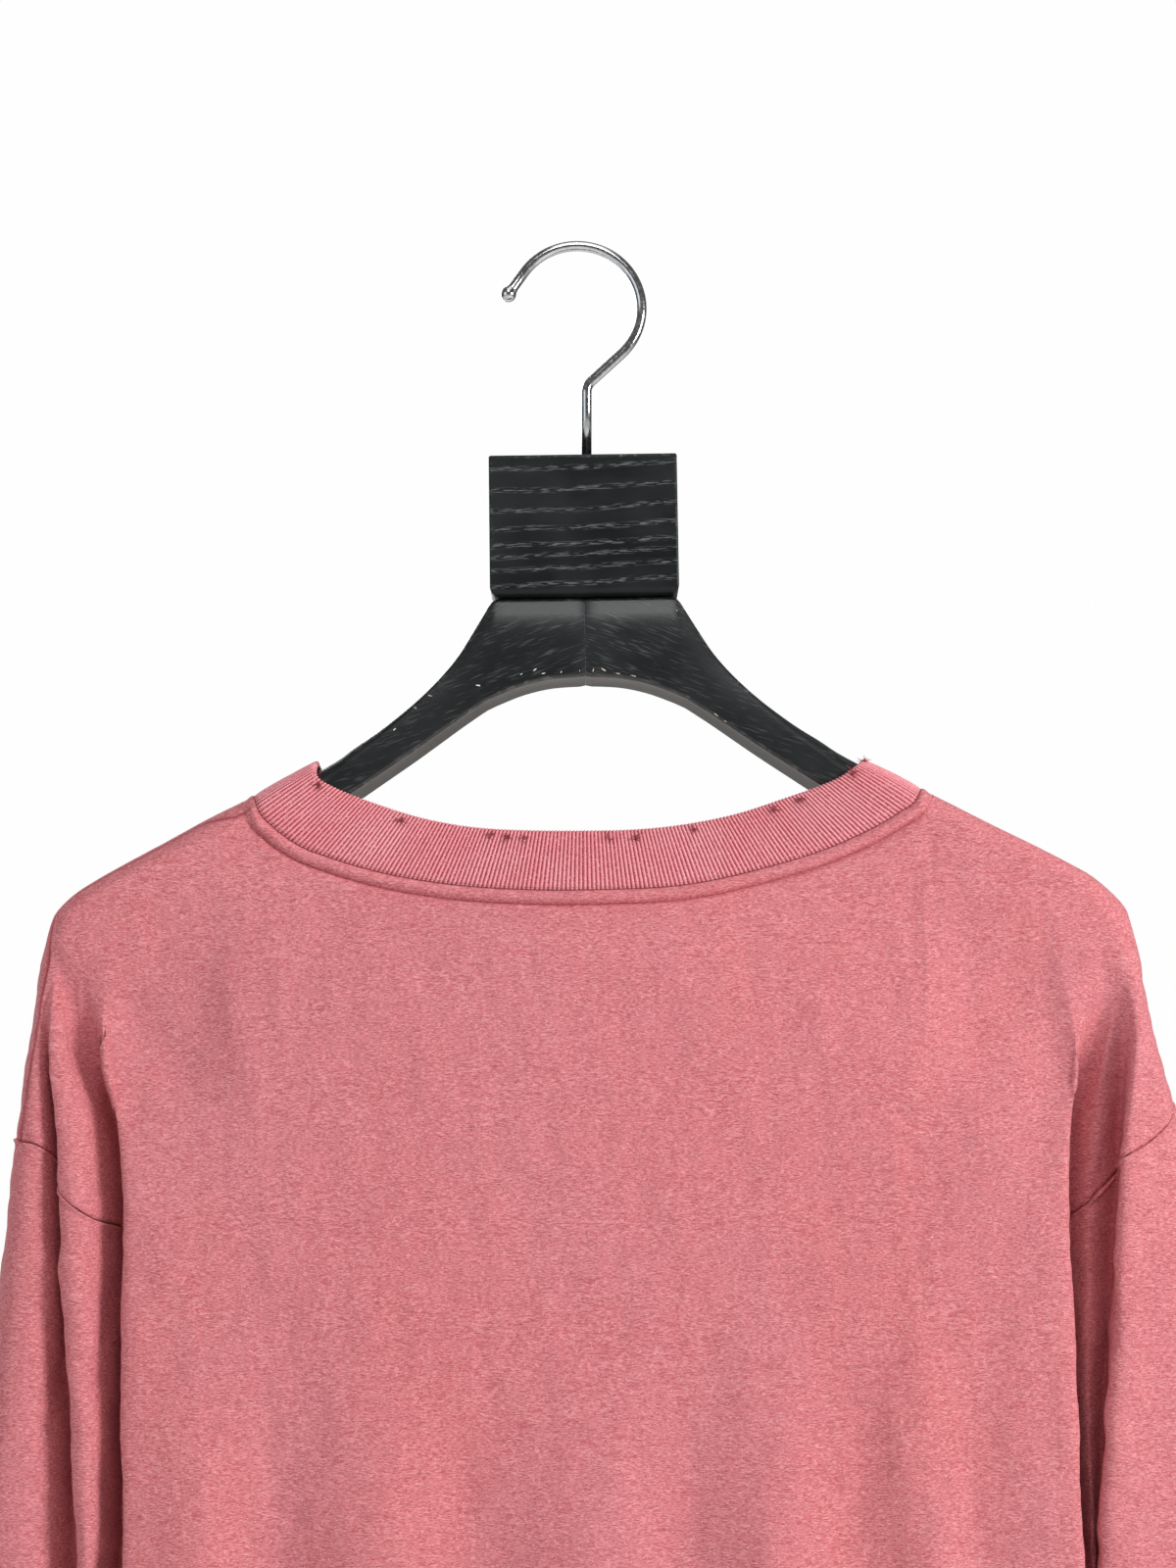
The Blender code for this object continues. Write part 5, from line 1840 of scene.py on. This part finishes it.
@dataclass
class Sewing:
    """The shirt's stitching: under the neck seam, and twin rows at hem and cuffs."""

    back: Panel
    front: Panel
    sleeves: list[Sleeve]
    neck_line: float = 5.3
    hem_lines: tuple[float, float] = (24, 18)
    cuff_lines: tuple[float, float] = (19, 13)
    lift: float = 0.1

    def on(self, points: Array, piece: Piece) -> Array:
        """Points settled on a piece, each followed by its way out of the cloth."""
        low, high = (settle_on(points, piece, self.lift + more) for more in (0, 1))
        return np.concatenate([low, high - low], axis=1)

    def neck(self, panel: Panel) -> Array:
        """The row under one face's neck seam, left to right.

        Args:
            panel: The panel that it is sewn on.

        Returns:
            The row's points and ways out.
        """
        form = Form(panel.face)
        x = np.linspace(NECK_POINT[LEFT][0], NECK_POINT[RIGHT][0], 500)
        z = form.top(x)
        slope = np.gradient(z, x)
        tilt = np.sqrt(1 + slope**2)
        across = x + slope / tilt * self.neck_line
        down = np.minimum(z - self.neck_line / tilt, shoulder_z(across) - 0.4)
        points = form.body_points(form.column_at(across), down)
        return self.on(resample(points, np.linspace(0, 1, 260)), panel.piece)

    def hem(self, panel: Panel, line: float) -> Array:
        """One row that far above the hem on a panel, side seam to side seam."""
        s = np.linspace(-1, 1, 140)
        return self.on(Form(panel.face).body_points(s, np.full(len(s), HEM_Z + line)), panel.piece)

    def cuff(self, sleeve: Sleeve, line: float) -> Array:
        """One row round a cuff.

        Args:
            sleeve: The sleeve that it is sewn on.
            line: How far above the cuff it runs.

        Returns:
            The row's points and ways out.
        """
        u = np.linspace(0, VALLEY - 0.15, 60)
        z = np.full((1, len(u)), CUFF_Z + line)
        halves = [Form(face).side_points(sleeve.side, u, z)[0] for face in Face]
        ring = np.concatenate([halves[0], halves[1][::-1]])
        return self.on(ring, sleeve.piece)

    def build(self, material: Material) -> None:
        """Lays every row.

        Args:
            material: The thread.
        """
        neck = [self.neck(self.back), self.neck(self.front)]
        StitchRow("neck_stitches", neck, False, 2.4, 2, 0.30).build(material)
        hems = [self.hem(panel, line) for panel in (self.back, self.front) for line in self.hem_lines]
        StitchRow("hem_stitches", hems, False).build(material)
        cuffs = [self.cuff(sleeve, line) for sleeve in self.sleeves for line in self.cuff_lines]
        StitchRow("cuff_stitches", cuffs, True).build(material)


@dataclass
class Frays:
    """Yarn ends that stand out of nicks worn into the rib's top edge; their dark red is painted shade for
    the nicks themselves, which are not cut.
    """

    rib: NeckRib
    places: tuple[tuple[float, float, float], ...] = (
        (-98.6, 1.5, 1), (-66.5, 2.2, 1.2), (-33, 1.8, 0.9), (-26.2, 2.4, 1.1), (-19.6, 2.6, 1.1),
        (12, 2.8, 1.3), (22.6, 2.4, 1.2), (44.6, 1.8, 0.8), (75.6, 2, 1), (86, 2, 1.1),
        (106, 1.2, 1.3), (110.6, -0.2, 1.1),
    )
    hairs: int = 15
    thickness: float = 0.46
    seed: int = 21

    def build(self, material: Material) -> None:
        """Makes all the yarn ends as one mesh.

        Args:
            material: The frayed yarn.
        """
        dice = np.random.default_rng(self.seed)
        back = self.rib.outer[: len(self.rib.outer) // 2]
        weaver = Weaver()
        for x, under, size in self.places:
            base = back[np.argmin(np.abs(back[:, 0] - x))] - np.array((0, 0.45, under))
            for _ in range(self.hairs):
                self.hair(weaver, base + dice.normal(0, 0.4, 3) * (1, 0.4, 1), dice, size * 1.3)
        frays = add_piece("frayed_yarn_ends", weaver.mesh("frayed_yarn_ends"), material)
        dress(frays, Slot.RIB)

    def hair(self, weaver: Weaver, base: Array, dice: np.random.Generator, size: float) -> None:
        """Adds one short curled end as a slim tube.

        Args:
            weaver: Where its points are gathered.
            base: Where it leaves the rib.
            dice: The random numbers.
            size: Its length, about.
        """
        way = dice.normal(0, 1, 3) * (1, 0.35, 0.9) + np.array((0, -0.5, -0.1))
        way /= np.linalg.norm(way)
        curl = dice.normal(0, 0.7, 3)
        t = np.linspace(0, 1, 6)[:, None]
        line = base + size * (way * t * 1.5 + curl * t * t * 0.6)
        turns = np.linspace(0, 2 * math.pi, 5)[:-1]
        flat, deep = np.cross(way, (0.3, 0.8, 0.5)), np.cross(way, (0.7, -0.2, 0.6))
        ring = np.stack([math.cos(a) * flat + math.sin(a) * deep for a in turns])
        ring /= np.linalg.norm(ring, axis=1)[:, None]
        thin = self.thickness / 2 * (1 - 0.7 * t)[:, :, None]
        numbers = weaver.grid(line[:, None, :] + ring[None] * thin)
        weaver.tube(numbers, False)


# ---- hanger
def hang_tilt() -> Matrix:
    """The hanger hangs a little off level, turned about the foot of the shank."""
    pivot = Vector((SHANK_X, 0, BLOCK_TOP)) * MM
    return Matrix.Translation(pivot) @ Matrix.Rotation(-TILT, 4, "Y") @ Matrix.Translation(-pivot)


@dataclass
class Arm:
    """One wooden arm, from the mitre to its round tip."""

    side: Side
    name: str
    node: str
    mitre_gap: float = 0.02
    mitre_round: float = 0.35
    lean: float = 2.1
    lean_height: float = 14.0
    lean_rows: Triple = (0.45, 0.75, 1)
    foot_round: float = 2.0
    corner_steps: int = 7
    between: int = 4

    def sections(self) -> Array:
        """The arm's sections, with more between those of the table.

        Returns:
            One section a row.
        """
        rows = np.array(ARM)
        at = np.linspace(0, len(rows) - 1, (len(rows) - 1) * self.between + 1)
        return through(np.repeat(rows[:, :, None], len(at), axis=2), at).T

    def build(self, material: Material) -> Piece:
        """Makes the arm's loft, closed at both ends, with its edges marked for wear.

        Args:
            material: The arm's wood.

        Returns:
            The arm.
        """
        grid, edge = [], []
        for number, (out, top, foot, half, round_y, round_z) in enumerate(self.sections()):
            if number == 0:
                top, foot = top - self.mitre_round, foot + self.mitre_round
                half -= self.mitre_round
            lean = self.lean * (1 - float(ramp(out, 36, 80)))
            low = self.foot_round
            corners = (
                (half - round_y, top - round_z, round_y, round_z, 0),
                (-half + round_y + lean, top - round_z, round_y, round_z, 90),
                (-half + low, foot + low, low, low, 180),
                (half - low, foot + low, low, low, 270),
            )
            x = AXIS_X + self.side * (out + self.mitre_gap)
            ring, worn = [], []
            for y, z, radius_y, radius_z, start in corners:
                for step in range(self.corner_steps):
                    share = step / (self.corner_steps - 1)
                    angle = math.radians(start + 90 * share)
                    ring.append((x, y + radius_y * math.cos(angle), z + radius_z * math.sin(angle)))
                    worn.append(math.sin(math.pi * share) if radius_y < 4 else 0)
                if start == 90:
                    for share in self.lean_rows:
                        drop = max(self.lean_height * share, round_z + share)
                        left_over = lean * max(1 - drop / self.lean_height, 0) ** 1.5
                        ring.append((x, -half + left_over, max(top - drop, foot + low + 1.0 - share)))
                        worn.append(0)
            grid.append(ring)
            edge.append(worn)
        weaver = Weaver()
        numbers = weaver.grid(np.array(grid))
        weaver.tube(numbers, self.side is RIGHT)
        mesh = weaver.mesh(self.name)
        mark_edges(mesh, np.array(edge, np.float32).reshape(-1))
        weld(mesh, fill=True)
        mesh.transform(hang_tilt())
        mesh.shade_smooth()
        mesh.set_sharp_from_angle(angle=math.radians(40))
        piece = add_piece(self.name, mesh, material)
        dress(piece, Slot.WOOD, self.node)
        return piece


@dataclass
class Chips:
    """Small chips on the arms' lower edge where pale bare wood shows."""

    name: str = "wood_chips"
    flakes: tuple[tuple[float, float, float, float, float], ...] = (
        (-16.2, -171.6, 2, 0.7, 35), (-12.8, -172.9, 1.3, 0.5, 10), (-6, -172.4, 1.2, 0.5, 70),
        (1.6, -171.9, 1.1, 0.6, 95), (6.4, -171.7, 1.3, 0.5, 80), (10.4, -171.4, 2.2, 0.6, -35),
        (16, -173.4, 1.7, 0.5, -12), (21.8, -174.2, 2.4, 0.7, -20), (25.2, -176.1, 1.5, 0.8, -40),
        (52.6, -190.6, 2.3, 0.5, -38), (56, -193.2, 1.4, 0.6, -30), (62.8, -198.4, 1.6, 0.6, -36),
        (-57, -181, 1.8, 0.5, -15), (-62.5, -186, 2.4, 0.4, -22), (-70, -195, 1.8, 0.5, 40),
        (-38, -177.6, 2.2, 0.5, -10), (40, -146.5, 1.3, 0.4, -60), (-21.4, -173.2, 1.1, 0.4, 20),
    )
    corners: int = 9
    rings: tuple[tuple[float, float], ...] = ((0.04, 0.1), (0.6, 0.1), (1, 0.02))
    front_y: float = -16.0
    seed: int = 5

    def build(self, arms: dict[Side, Piece], material: Material) -> None:
        """Lays an uneven flake on the nearer arm at each place.

        Args:
            arms: The arms by side.
            material: The bare wood.
        """
        dice = np.random.default_rng(self.seed)
        weaver = Weaver()
        for x, z, length, width, turn in self.flakes:
            arm = arms[LEFT if x < AXIS_X else RIGHT]
            way = np.array((math.cos(math.radians(turn)), 0, math.sin(math.radians(turn))))
            rise = np.array((-way[2], 0, way[0]))
            angles = np.linspace(0, 2 * math.pi, self.corners, endpoint=False)
            reach = dice.uniform(0.6, 1.25, self.corners)
            rim = (length / 2 * np.cos(angles) * reach)[:, None] * way
            rim = rim + (width / 2 * np.sin(angles) * reach)[:, None] * rise
            start = np.array((x, self.front_y, z))
            rings = [settle_on(start + rim * share, arm, lift) for share, lift in self.rings]
            weaver.tube(weaver.grid(np.array(rings)), True)
        dress(add_piece(self.name, weaver.mesh(self.name), material), Slot.WOOD)


@dataclass
class Block:
    """The rectangular neck block, its foot edges rounded more than the rest."""

    name: str = "hanger_block_wood"
    node: str = "hanger_block"
    size: tuple[float, float, float] = (73.4, 29, 55.6)
    bevel: float = 0.9
    foot_round: float = 3.6
    inset: float = 1.1
    flat_side: float = 18.0

    def build(self, material: Material) -> None:
        """Makes the block and marks its edges for wear.

        Args:
            material: The block's wood.
        """
        shape = bmesh.new()
        bmesh.ops.create_cube(shape, size=1)
        bmesh.ops.scale(shape, verts=shape.verts, vec=Vector(self.size) * MM)
        foot = [e for e in shape.edges if all(v.co.z < 0 for v in e.verts)]
        rounded = {"profile": 0.5, "affect": "EDGES"}
        bmesh.ops.bevel(shape, geom=foot, offset=self.foot_round * MM, segments=7, **rounded)
        rest = [e for e in shape.edges if e.calc_face_angle(0) > math.radians(60)]
        made = bmesh.ops.bevel(shape, geom=rest, offset=self.bevel * MM, segments=4, **rounded)
        flats = [face for face in shape.faces if face.calc_area() > (self.flat_side * MM) ** 2]
        bmesh.ops.inset_individual(shape, faces=flats, thickness=self.inset * MM)
        shape.verts.index_update()
        foot_z = (self.foot_round * 2 - self.size[2] / 2) * MM
        worn = {v.index for face in made["faces"] for v in face.verts if v.co.z > foot_z}
        mesh = bpy.data.meshes.new(self.name)
        shape.to_mesh(mesh)
        shape.free()
        mark_edges(mesh, [float(k in worn) for k in range(len(mesh.vertices))])
        middle = Vector((AXIS_X, 0, BLOCK_TOP - self.size[2] / 2))
        mesh.transform(hang_tilt() @ Matrix.Translation(middle * MM))
        mesh.shade_smooth()
        mesh.set_sharp_from_angle(angle=math.radians(35))
        dress(add_piece(self.name, mesh, material), Slot.WOOD, self.node)


@dataclass
class Hook:
    """The wire hook: ball end, round bend, slanted stretch and shank."""

    name: str = "hanger_hook_wire"
    node: str = "hanger_hook"
    wire: float = 2.0
    bend: float = 25.7
    open_angle: float = 145.0
    leave_angle: float = -47.0
    stub: float = 10.9
    ball: float = 3.1
    ball_steps: int = 18
    ball_tip: float = 0.4
    neck: float = 1.15
    turns: int = 60
    shank_bend: float = 6.0
    shank_turns: int = 12
    gap: float = 0.3

    @staticmethod
    def on_circle(centre: Vector, radius: float, angle: float) -> Vector:
        """A point on a circle in the hook's plane."""
        return centre + radius * Vector((math.cos(angle), math.sin(angle)))

    def route(self) -> list[Triple]:
        """Across, height and radius along the wire.

        Returns:
            One stop a row.
        """
        centre = Vector((0, self.wire - self.bend))
        start, leave = math.radians(self.open_angle), math.radians(self.leave_angle)
        begin = self.on_circle(centre, self.bend, start)
        back = Vector((-math.sin(start), math.cos(start)))
        ball = begin + back * self.stub
        route = []
        for step in range(self.ball_steps):
            angle = math.pi * step / self.ball_steps
            radius = max(self.ball * math.sin(angle), self.ball_tip)
            if angle > math.pi / 2 and radius < self.wire:
                break
            route.append((*(ball + back * self.ball * math.cos(angle)), radius))
        route.append((*(ball - back * self.ball * self.neck), self.wire))
        for step in range(self.turns + 1):
            angle = start + (leave - start) * step / self.turns
            route.append((*self.on_circle(centre, self.bend, angle), self.wire))
        way = Vector((math.sin(leave), -math.cos(leave)))
        corner = Vector(route[-1][:2])
        corner += way * ((SHANK_X - corner.x) / way.x)
        turn = math.acos(-way.y)
        middle = Vector((SHANK_X + self.shank_bend, corner.y - self.shank_bend * math.tan(turn / 2)))
        for step in range(self.shank_turns + 1):
            angle = math.pi - turn * (1 - step / self.shank_turns)
            route.append((*self.on_circle(middle, self.shank_bend, angle), self.wire))
        route.append((SHANK_X, BLOCK_TOP + self.gap, self.wire))
        return route

    def build(self, material: Material) -> None:
        """Makes the wire as a mesh from one bevelled curve.

        Args:
            material: The plated wire.
        """
        line = bpy.data.curves.new(self.name, "CURVE")
        line.dimensions = "3D"
        line.bevel_depth = self.wire * MM
        line.bevel_resolution = 8
        line.use_fill_caps = True
        route = self.route()
        spline = line.splines.new("POLY")
        spline.points.add(len(route) - 1)
        for point, (x, z, radius) in zip(spline.points, route):
            point.co = (x * MM, 0, z * MM, 1)
            point.radius = radius / self.wire
        curve_piece = bpy.data.objects.new(self.name + "_line", line)
        bpy.context.scene.collection.objects.link(curve_piece)
        mesh = plain_mesh(curve_piece)
        bpy.data.objects.remove(curve_piece, do_unlink=True)
        weld(mesh)
        mesh.shade_smooth()
        dress(add_piece(self.name, mesh, material), Slot.WIRE, self.node)


# ---- studio
@dataclass(frozen=True)
class Lamp:
    """A square soft light: its place, its target and its width are in metres."""

    name: str
    place: Triple
    target: Triple
    size: float
    watts: float
    colour: Triple = (1, 1, 1)

    def build(self) -> None:
        """Adds the light, turned to its target."""
        lamp = bpy.data.lights.new(self.name, "AREA")
        lamp.shape = "SQUARE"
        lamp.size = self.size
        lamp.energy = self.watts
        lamp.color = self.colour
        piece = bpy.data.objects.new(self.name, lamp)
        piece.location = self.place
        way = Vector(self.target) - Vector(self.place)
        piece.rotation_euler = way.to_track_quat("-Z", "Y").to_euler()
        bpy.context.scene.collection.objects.link(piece)


MIDDLE = (0, 0, -0.45)
CHEST = (0, 0, -0.2)
LAMPS = (
    Lamp("key", (1.72, -1.15, 0.05), MIDDLE, 0.7, 35),
    Lamp("above", (0.10, -0.40, 1.30), CHEST, 0.9, 3),
    Lamp("fill", (-1.6, -1.5, -0.1), MIDDLE, 1.5, 8, (0.88, 0.95, 1)),
    Lamp("top", (0.05, -1.20, 0.95), CHEST, 0.55, 6.5),
    Lamp("front_side", (-0.9, 1.9, 0.4), MIDDLE, 1.4, 26),
)


@dataclass
class Studio:
    """Pale floor, soft lights, near-white surroundings and the camera."""

    floor_z: float = -1300.0
    floor_reach: float = 4200.0
    floor_glow: float = 0.25
    backdrop: float = 0.99
    ambience: float = 0.32
    mirrored: float = 0.16
    warm_white: Colour = (1, 0.985, 0.97, 1)
    camera_place: Triple = (4.4, -1040, -346.8)
    pitch: float = math.degrees(math.atan(350 / 2750))
    lens: float = 61.875

    def surroundings(self) -> None:
        """Near-white where the camera looks past the object, and softer as a light."""
        world = bpy.data.worlds.new("surroundings")
        world.use_nodes = True
        nodes, links = world.node_tree.nodes, world.node_tree.links
        nodes.clear()
        leave = nodes.new("ShaderNodeOutputWorld")
        mix, dim = nodes.new("ShaderNodeMixShader"), nodes.new("ShaderNodeMixShader")
        path = nodes.new("ShaderNodeLightPath")
        mirrored, glow, seen = (nodes.new("ShaderNodeBackground") for _ in range(3))
        mirrored.inputs["Strength"].default_value = self.mirrored
        glow.inputs["Color"].default_value = self.warm_white
        glow.inputs["Strength"].default_value = self.ambience
        seen.inputs["Color"].default_value = (*(self.backdrop,) * 3, 1)
        for start, output, end, into in (
            (path, "Is Camera Ray", mix, 0), (path, "Is Glossy Ray", dim, 0), (glow, 0, dim, 1),
            (mirrored, 0, dim, 2), (dim, 0, mix, 1), (seen, 0, mix, 2), (mix, 0, leave, 0),
        ):
            links.new(start.outputs[output], end.inputs[into])
        bpy.context.scene.world = world

    def floor(self) -> None:
        """Adds the pale floor."""
        shape = bmesh.new()
        bmesh.ops.create_circle(shape, cap_ends=True, segments=96, radius=self.floor_reach * MM)
        mesh = bpy.data.meshes.new("floor")
        shape.to_mesh(mesh)
        shape.free()
        mesh.transform(Matrix.Translation((0, 0, self.floor_z * MM)))
        s = Shader("pale_floor")
        speckle = s.noise(s.place(), 6, 3)
        colour = s.mix(speckle, (0.80, 0.80, 0.79, 1), (0.86, 0.86, 0.85, 1))
        paint = s.finish(
            Base_Color=colour, Roughness=0.8, Emission_Color=colour, Emission_Strength=self.floor_glow,
        )
        add_piece("floor", mesh, paint)

    def camera(self) -> None:
        """Adds the camera at the photograph's place and angle."""
        lens = bpy.data.cameras.new("camera")
        lens.lens = self.lens
        lens.sensor_width = 36.0
        lens.clip_start = 0.01
        piece = bpy.data.objects.new("camera", lens)
        piece.location = Vector(self.camera_place) * MM
        piece.rotation_euler = (math.radians(90 + self.pitch), 0, 0)
        bpy.context.scene.collection.objects.link(piece)
        bpy.context.scene.camera = piece

    def build(self) -> None:
        """Sets everything up."""
        bpy.context.scene.view_settings.view_transform = "Standard"
        self.surroundings()
        self.floor()
        self.camera()
        for lamp in LAMPS:
            lamp.build()


def main() -> None:
    """Builds the shirt, its hanger and the studio, in order."""
    logging.basicConfig(level=logging.INFO, format="%(message)s")
    finishes = Finishes()
    back = Panel(Face.BACK, "back_panel_cloth", "back_panel", BACK_CREASES, 3, (0.62, 0.73), 0.42)
    front = Panel(Face.FRONT, "front_panel_cloth", "front_panel", FRONT_CREASES, 9, (0.62, 0.73), 0.41)
    sleeves = [
        Sleeve(side, f"sleeve_{side.name.lower()}_cloth", f"sleeve_{side.name.lower()}", seed,
               (0.40, 0.56), 0.15, creases=creases)
        for side, seed, creases in (
            (LEFT, 31, LEFT_SLEEVE_CREASES), (RIGHT, 41, RIGHT_SLEEVE_CREASES),
        )
    ]
    for part in (back, front, *sleeves):
        part.build(finishes.jersey)
    rib = NeckRib()
    rib.build(finishes.rib)
    Sewing(back, front, sleeves).build(finishes.thread)
    Frays(rib).build(finishes.fray_and_nick_shade)
    for part in (back, front, *sleeves, rib):
        part.finish()
    arms = {}
    for side in Side:
        node = f"hanger_arm_{side.name.lower()}"
        arms[side] = Arm(side, node + "_wood", node).build(finishes.arms[side])
    bpy.context.view_layer.update()
    Chips().build(arms, finishes.bare)
    Block().build(finishes.block)
    Hook().build(finishes.wire)
    Studio().build()


if __name__ == "__main__":
    main()
